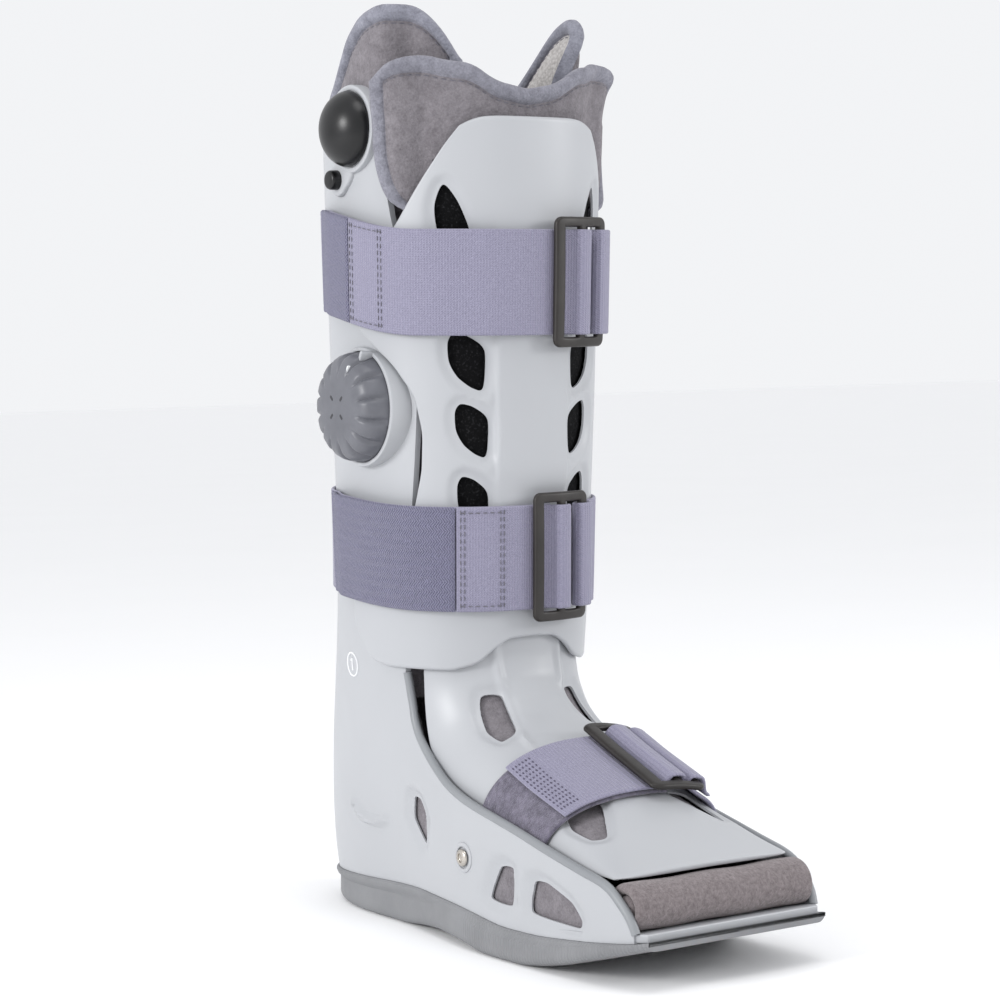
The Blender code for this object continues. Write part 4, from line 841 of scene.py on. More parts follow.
# Foot panel: a domed plate over the instep with two moulded ribs and four vents. A felt flap lies
# under it, and its front edge is arched over the toe roll.
INSTEP_ROUND, DOME_RADIUS, FLAP_WIDTH, FLAP_REACH = 2.35, 0.042, 0.13, 0.93
INSTEP = [
    (0.266, 1.000, 0.975, 1.050, 0.64), (0.267, 0.882, 0.955, 1.050, 0.64),
    (0.272, 0.800, 0.930, 1.060, 0.66), (0.284, 0.740, 0.900, 1.000, 0.72),
    (0.312, 0.682, 0.870, 0.860, 0.86), (0.345, 0.647, 0.860, 0.720, 1.00),
    (0.405, 0.605, 0.870, 0.620, 1.00), (0.553, 0.532, 0.880, 0.560, 1.00),
    (0.705, 0.465, 0.885, 0.430, 1.00), (0.829, 0.402, 0.890, 0.240, 1.00),
    (0.900, 0.366, 0.880, 0.110, 1.00), (0.925, 0.354, 0.870, 0.080, 1.00),
]
FOOT_VENTS = {
    "rear": [(0.300, 0.20), (0.295, 0.36), (0.345, 0.46), (0.385, 0.42), (0.378, 0.26)],
    "toe": [(0.655, 0.20), (0.645, 0.52), (0.700, 0.62), (0.760, 0.58), (0.775, 0.44)],
}
steps = [math.hypot((b[0] - a[0]) * FOOT_REACH, (b[1] - a[1]) * INSTEP_RISE)
         for a, b in zip(INSTEP, INSTEP[1:])]
INSTEP_RUN = sum(steps)
instep_table = [(sum(steps[:k]) / INSTEP_RUN, *row) for k, row in enumerate(INSTEP)]


def instep_along(reach):
    return float(np.interp(reach, [row[0] for row in INSTEP], [row[0] for row in instep_table]))


def foot_point(along, turn, proud=0.0):
    """A point on the foot panel's dome: along is 0 at the shin and 1 at the toe, turn is 0 on top."""
    along, turn = np.broadcast_arrays(np.asarray(along, float), np.asarray(turn, float))
    a, b = np.clip(along - 0.03, 0.0, 1.0), np.clip(along + 0.03, 0.0, 1.0)
    dy = -(np.interp(b, *columns(1)) - np.interp(a, *columns(1))) * FOOT_REACH
    dz = (np.interp(b, *columns(2)) - np.interp(a, *columns(2))) * INSTEP_RISE
    size = np.hypot(dy, dz)
    y = -read(instep_table, along, 1, 0.012) * FOOT_REACH
    z = read(instep_table, along, 2, 0.012) * INSTEP_RISE
    half = read(instep_table, along, 3, 0.03) * FOOT_HALF_WIDTH
    depth = read(instep_table, along, 4, 0.03) * FOOT_HALF_WIDTH
    power = 2.0 / INSTEP_ROUND
    x = np.sign(turn) * (half + proud) * np.abs(np.sin(turn)) ** power
    rise = (depth + proud) * np.clip(np.cos(turn), 0.0, 1.0) ** power - depth
    return np.stack([x, y + dz / size * rise, z - dy / size * rise], axis=-1)


def columns(index):
    return [row[0] for row in instep_table], [row[index] for row in instep_table]


def dome(turns, alongs, proud, trim=1.0, arch_size=0.034):
    """Turns and places along the instep for a dome with an arched front edge."""
    wrap = 0.5 * math.pi * read(instep_table, alongs, 5, 0.02) * trim
    arch = arch_size * ease(alongs, 0.9, 1.0)
    return foot_point(alongs - arch * np.abs(turns) ** 3, turns * wrap, proud)


share = (between_rims(0.07, 0.05, 1.95, 110, 2.0) - 1.0)[None, :]
along = between_rims(INSTEP_RUN, 0.02, 0.982, 110)[:, None]
gap = np.minimum((1.0 - np.abs(share)) * 0.07, np.minimum(along, 1.0 - along) * INSTEP_RUN)
draw = moulded_edge(gap)
foot_vent_lines = []
for outline in FOOT_VENTS.values():
    for side in (-1, 1):
        corners = [(instep_along(reach), side * turn * 0.5 * math.pi) for reach, turn in outline]
        foot_vent_lines.append(cut_corners(corners, 3, bite=0.14))
wrap = share * 0.5 * math.pi * read(instep_table, along, 5, 0.02)
spread = np.array([INSTEP_RUN, DOME_RADIUS])
flat = (np.stack(np.broadcast_arrays(along, wrap), axis=-1) * spread).reshape(-1, 2)
dish = sunk_round(flat, [line * spread for line in foot_vent_lines], 0.0019, 0.0008, 0.0056)
dish = dish.reshape(wrap.shape)
rib_place = 0.0125 + 0.006 * ease(along, 0.25, 0.45)
rib = 0.0017 * np.exp(-((np.abs(wrap) * DOME_RADIUS - rib_place) / 0.0019) ** 2)
rib = rib * ease(along, 0.10, 0.16) * (1.0 - ease(along, 0.42, 0.46))
foot_panel = skin("foot_panel_moulding", dome(share, along, -draw - dish + rib),
                  dome(share, along, -PANEL_WALL + draw))
for index, line in enumerate(foot_vent_lines):
    rings = [foot_point(line[:, 0], line[:, 1], proud) for proud in (-0.009, 0.006)]
    cut(foot_panel, loft("foot_vent_%d" % index, rings))
dress(foot_panel, shell_plastic, "shell_plastic", "foot_panel")

flap_run = FLAP_REACH * INSTEP_RUN
flap_across = spaced(FLAP_WIDTH, 50)[:, 0]
flap_along = spaced(flap_run, 60)[:, 0]
gap = np.minimum(np.minimum(flap_across, FLAP_WIDTH - flap_across)[None, :],
                 np.minimum(flap_along, flap_run - flap_along)[:, None])
share, along = (2.0 * flap_across / FLAP_WIDTH - 1.0)[None, :], (flap_along / INSTEP_RUN)[:, None]
half = 0.5 * FOOT_FELT * felt_body(gap)
flap_middle = -PANEL_WALL - LINING_GAP - 0.5 * FOOT_FELT
instep_pad = skin("instep_pad_felt", dome(share, along, flap_middle + half, 0.9, 0.0),
                  dome(share, along, flap_middle - half, 0.9, 0.0))
dress(instep_pad, felt, "felt", "instep_pad")


# Toe roll: the front end of the foot felt, rolled on itself and lying in the toe of the tray between
# the foot panel and the lip of the shell.
ROLL_RADIUS, ROLL_FELT, ROLL_HALF, ROLL_TURNS = 0.0130, 0.0050, 0.0490, 1.9
lip = 0.975 * FOOT_REACH
pitch = ROLL_FELT + SEAT_GAP
centre_y = -lip + ROLL_RADIUS - 0.5 * pitch
slope = math.atan2(float(joint_height(-lip) - joint_height(centre_y)), ROLL_RADIUS)
under = ROLL_RADIUS - 0.75 * pitch
centre_z = float(joint_height(centre_y)) + TRAY_FLOOR + 1.5 * SEAT_GAP + under / math.cos(slope)
ROLL_STEPS = np.array([0.0, 0.004, 0.012, 0.024])
wound = np.concatenate([ROLL_STEPS, np.linspace(0.04, 0.96, 70), 1.0 - ROLL_STEPS[::-1]])
wound = ROLL_TURNS * wound[:, None]
edge = spaced(2.0 * ROLL_HALF, 60)[:, 0]
across = (edge - ROLL_HALF)[None, :]
gap = np.minimum(np.minimum(edge, 2.0 * ROLL_HALF - edge)[None, :],
                 np.minimum(wound, ROLL_TURNS - wound) * 0.045)
half = 0.5 * ROLL_FELT * fullness(gap, 0.0022, 0.06)
unevenness = 0.00025 * np.sin(across * 160.0 + wound * 5.0)
radius = ROLL_RADIUS - pitch * (ROLL_TURNS - wound) - 0.5 * ROLL_FELT + unevenness
turn = 2.0 * math.pi * wound + 1.2 * math.pi


def roll_point(size):
    y, z = centre_y - size * np.cos(turn), centre_z + size * np.sin(turn)
    return np.stack([np.broadcast_to(across, size.shape), y, z], axis=-1)


toe_roll = skin("toe_roll_felt", roll_point(radius + half), roll_point(radius - half))
roll_felt = surface("rolled felt", (0.30, 0.27, 0.275), 0.95,
                    [(620.0, 6.0, 0.7), (0.130, 0.110, 0.113), (0.235, 0.205, 0.21), 0.36, 0.66],
                    [((1200.0, 3.0, 0.7), 0.8, 0.0007), ((240.0, 5.0), 0.7, 0.0015)],
                    Specular_IOR_Level=0.1, Sheen_Weight=0.4, Sheen_Roughness=0.6,
                    Sheen_Tint=(0.75, 0.70, 0.70, 1.0))
dress(toe_roll, roll_felt, "felt", "toe_roll")


# Leg straps: 50 mm nylon webbing in three lengths each: the belt round the back, the strap over the
# shin, and the hook tape tab sewn to its end. Belt and strap fold round the bars of a buckle.
WEB_WALL, STRAP_GAP, WEB_WIDTH = 0.0018, 0.0006, 0.050
LAYER = WEB_WALL + STRAP_GAP
STRAP_FLOOR = PANEL_GAP + PANEL_WALL + STRAP_GAP
STEP_FROM, STEP_TO, TAB_END = 99.0, 112.0, -115.0
UPPER_STRAP, LOWER_STRAP = (0.3145, 0.010), (0.1835, 0.003)
UPPER_TAB, LOWER_TAB, SEAM_TURNS = -84.0, -35.0, (1.6, 3.2, 17.5, 19.0)
BUCKLE_LENGTH, BUCKLE_WALL, BUCKLE_BAR = 0.062, 0.003, 0.0049
UPPER_BARS = {"left": (4.0, 8.5), "centre": (15.5, 19.0), "right": (26.5, 31.0)}
LOWER_BARS = {"left": (-4.0, 0.5), "centre": (7.5, 11.0), "right": (18.5, 23.0)}
WEB_STEPS = np.array([0.0, 0.003, 0.010, 0.02, 0.035, 0.05, 0.058, 0.066])


def arc(start, end, proud_at, step):
    count = max(int(round(abs(end - start) / step)), 1)
    turns = [start + (end - start) * k / count for k in range(count + 1)]
    return [(turn, float(proud_at(turn))) for turn in turns]


def over_bar(bar, play, floor, top):
    """A fold over a buckle bar, from low on its near side to low on its far side."""
    near, far = bar
    middle, shoulder = floor + 0.5 * BUCKLE_WALL, top - 0.25 * WEB_WALL
    rise = [(near - play, middle), (near - 0.7 * play, shoulder), (near + 0.2 * play, top)]
    fall = [(far - 0.2 * play, top), (far + 0.7 * play, shoulder), (far + play, middle)]
    return rise + fall


def webbing_band(name, path, radius, place):
    """A strap along a path of (turn in degrees, proud), with thin selvedges and UVs in metres."""
    line = np.column_stack([np.radians([p[0] for p in path]) * radius, [p[1] for p in path]])
    line = along_line(cut_corners(line, 2, closed=False), 0.0011)
    ahead = headings(line)
    run = np.concatenate([[0.0], np.cumsum(np.linalg.norm(np.diff(line, axis=0), axis=1))])
    share = np.concatenate([WEB_STEPS, np.linspace(0.09, 0.91, 30), 1.0 - WEB_STEPS[::-1]])
    edge = np.minimum(share, 1.0 - share) * WEB_WIDTH
    half = 0.5 * WEB_WALL * fullness(edge, 0.0009, 0.05)
    half = half * (1.0 - 0.10 * np.exp(-((edge - 0.0030) / 0.0004) ** 2))
    ends = np.minimum(run, run[-1] - run)
    half = half[None, :] * fullness(ends, 0.0009, 0.15)[:, None]
    sides = []
    for way in (1.0, -1.0):
        turn = (line[:, :1] - way * ahead[:, 1:] * half) / radius
        proud = line[:, 1:] + way * ahead[:, :1] * half
        sides.append(place(turn, proud, share[None, :]))
    uv = np.stack(np.broadcast_arrays(run[:, None], share[None, :] * WEB_WIDTH), axis=-1)
    return skin(name, sides[0], sides[1], uv)


def leg_strap_places(height, rise):
    def place(turn, proud, share):
        short = (np.degrees(turn) + 180.0) % 360.0 - 180.0
        climb = np.where(short < 0.0, ease(-short, 50.0, 115.0), ease(short, 115.0, 180.0))
        return leg_point(turn, height + (share - 0.5) * WEB_WIDTH + rise * climb, proud)
    return place


def weave(tree, across_count, along_count, twist=0.0):
    """A woven height from the strap's own run and width: ribs crossed by ribs, in marks per metre."""
    uv = add(tree, "ShaderNodeSeparateXYZ", {"Vector": add(tree, "ShaderNodeTexCoord").outputs["UV"]})
    along, across = uv.outputs["X"], uv.outputs["Y"]
    if twist:
        along = maths(tree, "MULTIPLY_ADD", maths(tree, "PINGPONG", across, 0.0024), twist, along)
    ribs, wefts = [maths(tree, "SINE", maths(tree, "MULTIPLY", value, 2.0 * math.pi * count))
                   for value, count in ((along, along_count), (across, across_count))]
    return maths(tree, "MULTIPLY", ribs, wefts), ribs


webbing, tree, shader = material("nylon webbing", (0.26, 0.245, 0.34), 0.62,
                                 Sheen_Weight=0.25, Sheen_Roughness=0.4)
woven, ribs = weave(tree, 900.0, 720.0)
mottle = maths(tree, "MULTIPLY_ADD", ribs, 0.075, noise(tree, 1500.0, 3.0))
tint(tree, shader, mottle, (0.190, 0.181, 0.258), (0.300, 0.288, 0.392), 0.2, 0.8)
emboss(tree, shader, [(ribs, 0.28, 0.0003), (woven, 0.45, 0.0003), (noise(tree, 1700.0, 2.0), 0.3, 0.0002)])

hook_tape, tree, shader = material("hook tape", (0.19, 0.18, 0.28), 0.75, Sheen_Weight=0.2)
woven, ribs = weave(tree, 700.0, 780.0, 0.8)
mottle = maths(tree, "MULTIPLY_ADD", ribs, 0.24, noise(tree, 1500.0, 3.0))
tint(tree, shader, mottle, (0.125, 0.121, 0.200), (0.245, 0.240, 0.355), 0.2, 0.8)
emboss(tree, shader, [(ribs, 0.9, 0.0004), (noise(tree, 1500.0, 2.0), 0.5, 0.0003)])


def strap_seat(turn):
    behind = ease(abs((turn + 180.0) % 360.0 - 180.0), STEP_FROM, STEP_TO)
    return STRAP_GAP + 0.5 * WEB_WALL + (STRAP_FLOOR - STRAP_GAP) * (1.0 - behind)


def buckle_frame(name, place, bars, floor, radius):
    """A three-bar slider: cut flat with rounded corners and bars, then bent to its place."""
    lines = sorted(math.radians(turn) * radius for bar in bars.values() for turn in bar)
    half = 0.5 * BUCKLE_LENGTH
    hole = half - BUCKLE_BAR
    spans = [np.linspace(a, b, 2 + 2 * (k % 2))[:-1] for k, (a, b) in enumerate(zip(lines, lines[1:]))]
    us = np.concatenate(spans + [[lines[-1]]])
    vs = np.concatenate([[-half], np.linspace(-hole, hole, 17), [half]])
    work = bmesh.new()
    corners = {(i, j): work.verts.new((u, v, 0.0)) for i, u in enumerate(us) for j, v in enumerate(vs)}
    for i in range(len(us) - 1):
        for j in range(len(vs) - 1):
            middle_u, middle_v = 0.5 * (us[i] + us[i + 1]), 0.5 * (vs[j] + vs[j + 1])
            in_slot = any(lines[k] < middle_u < lines[k + 1] for k in (1, 3))
            if not (in_slot and abs(middle_v) < hole):
                work.faces.new([corners[i, j], corners[i + 1, j], corners[i + 1, j + 1], corners[i, j + 1]])
    bmesh.ops.delete(work, geom=[v for v in work.verts if not v.link_faces], context="VERTS")
    made = bmesh.ops.extrude_face_region(work, geom=list(work.faces))
    top = [v for v in made["geom"] if isinstance(v, bmesh.types.BMVert)]
    bmesh.ops.translate(work, verts=top, vec=(0.0, 0.0, BUCKLE_WALL))
    bmesh.ops.recalc_face_normals(work, faces=work.faces)
    upright = [e for e in work.edges if abs(e.verts[0].co.z - e.verts[1].co.z) > 1e-4
               and min(abs(e.verts[0].co.x - us[0]), abs(e.verts[0].co.x - us[-1])) < 1e-6
               and abs(abs(e.verts[0].co.y) - half) < 1e-6]
    bmesh.ops.bevel(work, geom=upright, offset=0.0038, segments=7, profile=0.5, affect="EDGES")
    sharp = [e for e in work.edges if len(e.link_faces) == 2 and e.calc_face_angle() > math.radians(50)
             and abs(e.verts[0].co.z - e.verts[1].co.z) < 1e-5]
    bmesh.ops.bevel(work, geom=sharp, offset=0.0013, segments=4, profile=0.5, affect="EDGES",
                    clamp_overlap=True)
    mesh = bpy.data.meshes.new(name)
    work.to_mesh(mesh)
    work.free()
    flat_points = np.array([v.co[:] for v in mesh.vertices])
    crown = 0.0004 * np.cos(np.pi * np.clip(flat_points[:, 1] / BUCKLE_LENGTH, -0.5, 0.5))
    proud = floor + flat_points[:, 2] + crown * (flat_points[:, 2] > 0.001)
    bent = place(flat_points[:, 0] / radius, proud, flat_points[:, 1])
    mesh.vertices.foreach_set("co", lean(bent).ravel())
    shade(mesh, 50.0)
    return put_in_scene(name, mesh)


buckle_plastic = surface("buckle plastic", (0.050, 0.044, 0.041), 0.42,
                         [(55.0,), (0.016, 0.0135, 0.012), (0.028, 0.024, 0.022)],
                         [((1900.0, 3.0), 0.16, 0.0002)], [(140.0, 5.0), 0.32, 0.52], Specular_IOR_Level=0.4)


def leg_strap_set(name, height, rise, bars, tab_from):
    """One strap at a height, that climbs by a rise to the back: belt, strap, tab, buckle and seams."""
    raised = PLATEAU_RISE if name == "upper" else 0.0
    floor = STRAP_FLOOR + 2.0 * LAYER + raised
    top = floor + BUCKLE_WALL + STRAP_GAP + 0.5 * WEB_WALL
    radius = LEG_FRONT + floor
    play = math.degrees((0.5 * WEB_WALL + STRAP_GAP) / radius)
    place = leg_strap_places(height, rise)

    def beneath(turn):
        return strap_seat(turn) + raised * (1.0 - ease(abs((turn + 180.0) % 360.0 - 180.0), 21.0, 33.0))

    def over(turn):
        return beneath(turn) + LAYER

    left, centre, right = bars.values()
    start = left[1] + 0.4 * (centre[0] - left[1])
    path = arc(tab_from, start, over, 4.0) + over_bar(centre, play, floor, top)
    dress(webbing_band(name + "_strap_webbing", path, radius, place), webbing, "webbing", name + "_strap")
    tab = webbing_band(name + "_hook_tab_tape", arc(TAB_END, tab_from - 0.6, over, 4.0), radius, place)
    dress(tab, hook_tape, "hook_tape", name + "_hook_tab")
    path = arc(centre[0], -STEP_FROM, beneath, 5.0) + arc(-STEP_TO, STEP_TO - 360.0, beneath, 5.0)
    path += arc(STEP_FROM - 360.0, right[1] + 4.0 * play - 360.0, beneath, 5.0)
    fold = over_bar(right, play, floor, top)
    path += [(right[0] - 0.4 * play - 360.0, 0.5 * (beneath(right[0]) + floor + 0.5 * BUCKLE_WALL))]
    path += [(turn - 360.0, proud) for turn, proud in fold[:-1]]
    tail = right[1] + 5.0 * play
    path += [(turn - 360.0, over(turn)) for turn in (tail, tail + 8.0)]
    dress(webbing_band(name + "_belt_webbing", path, radius, place), webbing, "webbing", name + "_belt")

    def buckle_place(turn, proud, up):
        return leg_point(turn, height + up, proud)

    buckle = buckle_frame(name + "_buckle_slider", buckle_place, bars, floor, radius)
    dress(buckle, buckle_plastic, "buckle_plastic", name + "_buckle")

    lines = []
    face = 0.5 * WEB_WALL + 0.0002
    for offset in SEAM_TURNS:
        turn = math.radians(tab_from + offset)
        share = np.linspace(0.04, 0.96, 40)
        lines.append(place(np.full(40, turn), np.full(40, over(tab_from + offset) + face), share))
    for share in (0.055, 0.945):
        turns = np.linspace(tab_from + SEAM_TURNS[0], tab_from + SEAM_TURNS[-1], 20)
        lines.append(place(np.radians(turns), np.array([over(t) + face for t in turns]), np.full(20, share)))
    dress(stitches(name + "_strap_stitches", lines, 0.0022, 0.0011, 0.00026), thread, "webbing")


leg_strap_set("upper", *UPPER_STRAP, UPPER_BARS, UPPER_TAB)
leg_strap_set("lower", *LOWER_STRAP, LOWER_BARS, LOWER_TAB)


# Foot strap: webbing over the instep with a welded end tab, a fuzzy loop belt under it, and a short
# loop that holds the buckle on the inner side.
FOOT_STRAP_REAR, FOOT_STRAP_WIDTH, FOOT_TAB_END = 0.468, 0.050, -50.0
FOOT_BARS = {"left": (1.0, 7.0), "centre": (14.0, 19.0), "right": (27.0, 33.0)}


def foot_place(turn, proud, share):
    return foot_point(instep_along(FOOT_STRAP_REAR) + share * FOOT_STRAP_WIDTH / INSTEP_RUN, turn, proud)


seat = STRAP_GAP + 0.5 * WEB_WALL
over = seat + LAYER
floor = over + 0.5 * WEB_WALL + STRAP_GAP
top = floor + BUCKLE_WALL + STRAP_GAP + 0.5 * WEB_WALL
radius = 0.75 * FOOT_HALF_WIDTH
play = math.degrees((0.5 * WEB_WALL + STRAP_GAP) / radius)
left, centre, right = FOOT_BARS.values()
start = left[1] + 0.4 * (centre[0] - left[1])
path = arc(FOOT_TAB_END, start, lambda turn: over, 6.0) + over_bar(centre, play, floor, top)
dress(webbing_band("foot_strap_webbing", path, radius, foot_place), webbing, "webbing", "foot_strap")
path = arc(-86.0, centre[0], lambda turn: seat, 6.0)
foot_belt = webbing_band("foot_belt_loop_cloth", path, radius, foot_place)
path = arc(86.0, right[1] + 4.0 * play, lambda turn: seat, 6.0)
path.append((right[0] - 0.4 * play, 0.5 * (seat + floor + 0.5 * BUCKLE_WALL)))
path += over_bar(right, play, floor, top)[:-1]
path += [(right[1] + 5.0 * play, over), (right[1] + 8.0 * play, over)]
dress(webbing_band("foot_loop_webbing", path, radius, foot_place), webbing, "webbing", "foot_loop")
loop_cloth = surface("brushed loop cloth", (0.16, 0.145, 0.20), 0.95,
                     [(240.0, 6.0, 0.7), (0.070, 0.062, 0.095), (0.190, 0.172, 0.235), 0.35, 0.7],
                     [((1100.0, 4.0, 0.7), 0.9, 0.0008)], Sheen_Weight=0.5, Sheen_Roughness=0.5)
dress(foot_belt, loop_cloth, "loop_cloth", "foot_belt")


def foot_buckle_place(turn, proud, up):
    return foot_place(turn, proud, 0.5 + up / FOOT_STRAP_WIDTH)


foot_buckle = buckle_frame("foot_buckle_slider", foot_buckle_place, FOOT_BARS, floor, radius)
dress(foot_buckle, buckle_plastic, "buckle_plastic", "foot_buckle")
weld_lines = []
for row in range(6):
    turn = math.radians(FOOT_TAB_END + 3.0 + 2.5 * row)
    share = np.linspace(0.08, 0.92, 30)
    weld_lines.append(foot_place(np.full(30, turn), np.full(30, over + 0.5 * WEB_WALL), share))
weld_marks = surface("weld marks", (0.07, 0.062, 0.10), 0.5,
                     [(500.0,), (0.05, 0.045, 0.075), (0.10, 0.09, 0.14)])
dress(stitches("foot_strap_weld_marks", weld_lines, 0.0015, 0.0016, 0.0004), weld_marks, "webbing")


# Air controls on the outer side: collars and rings moulded on the shell, the lobed dial on its
# spindle, the black rubber pump bulb and the release button above and beside it.
DIAL_HEIGHT, DIAL_BACK, DIAL_RADIUS, DIAL_DEPTH = 0.2545, -0.007, 0.0265, 0.0155
SPINDLE_RADIUS, SPINDLE_BORE = 0.0037, 0.0045
DIAL_LOBES, POINTER_TURN = 14, math.radians(112)
DIAL_PROFILE = [
    (0.20, 1.00), (0.40, 0.99), (0.60, 0.955), (0.76, 0.90), (0.86, 0.83), (0.925, 0.74), (0.955, 0.66),
    (0.972, 0.58), (0.985, 0.50), (1.00, 0.30), (1.00, 0.12), (1.00, 0.02),
]
BULB_HEIGHT, BULB_BACK, BULB_RADIUS, BULB_DEPTH = 0.3875, 0.0, 0.0183, 0.0135
BUTTON_HEIGHT, BUTTON_BACK, BUTTON_RADIUS, DROP_TURN = 0.3635, 0.012, 0.0048, math.radians(142)
BOSS_PROUD, BOSS_RIM = 0.0012, 0.0016


def wall_reach(y, z):
    half, back, front = leg_sizes(z)
    depth = np.where(np.asarray(y) > 0.0, back, front)
    return half * (1.0 - np.minimum(np.abs(y) / depth, 1.0) ** SQUARENESS) ** (1.0 / SQUARENESS)


def boss_face(y, z, proud):
    return np.array([-(float(wall_reach(y, z)) + proud), y, z])


def turned(name, centre, profile, sides=96, shape=None, closed=False):
    """A body turned about a line along -X: profile rows are (reach outwards, radius)."""
    angle = 2.0 * math.pi * np.arange(sides) / sides
    rings = []
    for out, radius in profile:
        size, far = np.full(sides, float(radius)), np.full(sides, float(out))
        if shape:
            size, far = shape(angle, far, size)
        rings.append(np.column_stack([centre[0] - far, centre[1] + size * np.cos(angle),
                                      centre[2] + size * np.sin(angle)]))
    return loft(name, rings, closed)


dial_face = boss_face(DIAL_BACK, DIAL_HEIGHT, BOSS_PROUD)
bulb_face = boss_face(BULB_BACK, BULB_HEIGHT, BOSS_PROUD)
button_face = boss_face(BUTTON_BACK, BUTTON_HEIGHT, BOSS_PROUD + 0.0015)


def collar(name, centre, radius, height, bore):
    rows = [(-0.009, bore), (height - 0.0002, bore), (height, bore + 0.0003), (height, radius - 0.0010),
            (height - 0.0003, radius - 0.0003), (height - 0.0010, radius), (-0.009, radius)]
    return turned(name, centre, rows, closed=True)


dial_boss, bulb_boss = DIAL_RADIUS + BOSS_RIM, BULB_RADIUS + BOSS_RIM
for name, face, *sizes in (("dial_collar", dial_face, dial_boss, 0.0, SPINDLE_BORE),
                           ("dial_bezel_ring", dial_face, dial_boss + 0.0008, 0.0022, DIAL_RADIUS + 0.0004),
                           ("bulb_collar", bulb_face, bulb_boss, 0.0, 0.004),
                           ("bulb_ring", bulb_face, bulb_boss + 0.0012, 0.0008, BULB_RADIUS + 0.0003)):
    dress(collar(name, face, *sizes), shell_plastic, "shell_plastic")


def stepped(name, line, core, face, steps):
    """A flat body on the outer side: steps hold how far its outline shrinks and how far out it is."""
    rings = []
    for shrink, out in steps:
        ring = core + (line - core) * shrink
        rings.append(np.column_stack([np.full(len(line), face - out), ring]))
    return loft(name, rings)


angle = 2.0 * math.pi * np.arange(72) / 72
size = BUTTON_RADIUS + BOSS_RIM + 0.0016 + 0.0075 * np.maximum(np.cos(angle - DROP_TURN), 0.0) ** 3
core = np.array([BUTTON_BACK, BUTTON_HEIGHT])
drop = core + np.column_stack([size * np.cos(angle), size * np.sin(angle)])
drop_pad = stepped("button_drop_pad", drop, core, button_face[0] + 0.0014,
                   ((1.0, -0.005), (1.0, 0.0), (0.95, 0.0009), (0.86, 0.0013)))
dress(drop_pad, shell_plastic, "shell_plastic")


def lobed(angle, out, radius):
    petal = 0.5 - 0.5 * np.cos(DIAL_LOBES * angle)
    high = ease(out, 0.12 * DIAL_DEPTH, 0.35 * DIAL_DEPTH)
    wide = ease(radius, 0.60 * DIAL_RADIUS, 0.74 * DIAL_RADIUS)
    return radius * (1.0 - 0.055 * high * wide * petal ** 5), out - 0.0012 * wide * high * petal ** 9


dial_rows = [(-0.0045, SPINDLE_RADIUS), (SEAT_GAP, SPINDLE_RADIUS), (SEAT_GAP, DIAL_RADIUS - 0.0008),
             (0.0010, DIAL_RADIUS)]
dial_rows += [(out * DIAL_DEPTH, size * DIAL_RADIUS) for out, size in DIAL_PROFILE]
dial_piece = turned("dial_knob", dial_face, dial_rows, DIAL_LOBES * 16, lobed)
dial_plastic = surface("dial plastic", (0.20, 0.205, 0.23), 0.40,
                       [(60.0,), (0.105, 0.108, 0.124), (0.140, 0.143, 0.162)],
                       [((1600.0, 3.0), 0.14, 0.0002)], [(150.0, 5.0), 0.30, 0.48])
dress(dial_piece, dial_plastic, "dial_plastic", "dial", body="dial")


def dial_tablet(name, turn, radius, length, width, low, high):
    """A small rounded tablet on the dial's face, its long side along the radius at a turn."""
    angle = 2.0 * math.pi * np.arange(24) / 24
    a = 0.5 * length * np.sign(np.cos(angle)) * np.abs(np.cos(angle)) ** 0.5
    b = 0.5 * width * np.sign(np.sin(angle)) * np.abs(np.sin(angle)) ** 0.5
    line = np.column_stack([dial_face[1] + (radius + a) * math.cos(turn) - b * math.sin(turn),
                            dial_face[2] + (radius + a) * math.sin(turn) + b * math.cos(turn)])
    return stepped(name, line, line.mean(axis=0), dial_face[0],
                   ((1.0, low), (1.0, high - 0.0003), (0.85, high)))


slot_shade = surface("dial slot shade", (0.035, 0.035, 0.04), 0.6,
                     [(300.0,), (0.028, 0.028, 0.032), (0.045, 0.045, 0.05)])
for k in range(4):
    turn = math.radians(45 + 90 * k)
    piece = dial_tablet("dial_slot_%d" % (k + 1), turn, 0.0062, 0.0034, 0.0015, 0.010, DIAL_DEPTH + 0.0001)
    dress(piece, slot_shade, "dial_plastic", body="dial")
fin = dial_tablet("dial_pointer_fin", POINTER_TURN, 0.0268, 0.0050, 0.0020, 0.0, 0.0082)
dress(fin, shell_plastic, "shell_plastic")
mark_paint = surface("white index mark", (0.80, 0.81, 0.82), 0.45,
                     [(200.0,), (0.74, 0.75, 0.76), (0.84, 0.85, 0.86)])
mark = dial_tablet("dial_index_mark", POINTER_TURN, 0.0196, 0.0046, 0.0010, 0.008, 0.905 * DIAL_DEPTH)
dress(mark, mark_paint, "dial_plastic", body="dial")

dome_rows = [(SEAT_GAP, 0.4 * BULB_RADIUS), (SEAT_GAP, BULB_RADIUS - 0.0006)]
dome_rows += [(SEAT_GAP + BULB_DEPTH * math.sin(angle), BULB_RADIUS * math.cos(angle))
              for angle in np.radians(np.linspace(4.0, 89.0, 25))]
bulb = turned("pump_bulb_dome", bulb_face, dome_rows)
bulb_rubber = surface("black bulb rubber", (0.012, 0.012, 0.013), 0.30,
                      [(60.0,), (0.004, 0.004, 0.0045), (0.008, 0.008, 0.009)],
                      [((1300.0, 3.0), 0.10, 0.0002)], [(120.0, 5.0), 0.24, 0.40], Specular_IOR_Level=0.42)
dress(bulb, bulb_rubber, "bulb_rubber", "pump_bulb")
cap_rows = cut_corners([(-0.0030, BUTTON_RADIUS), (0.0034, BUTTON_RADIUS), (0.0047, 0.86 * BUTTON_RADIUS),
                        (0.0050, 0.5 * BUTTON_RADIUS), (0.0050, 0.05 * BUTTON_RADIUS)], closed=False)
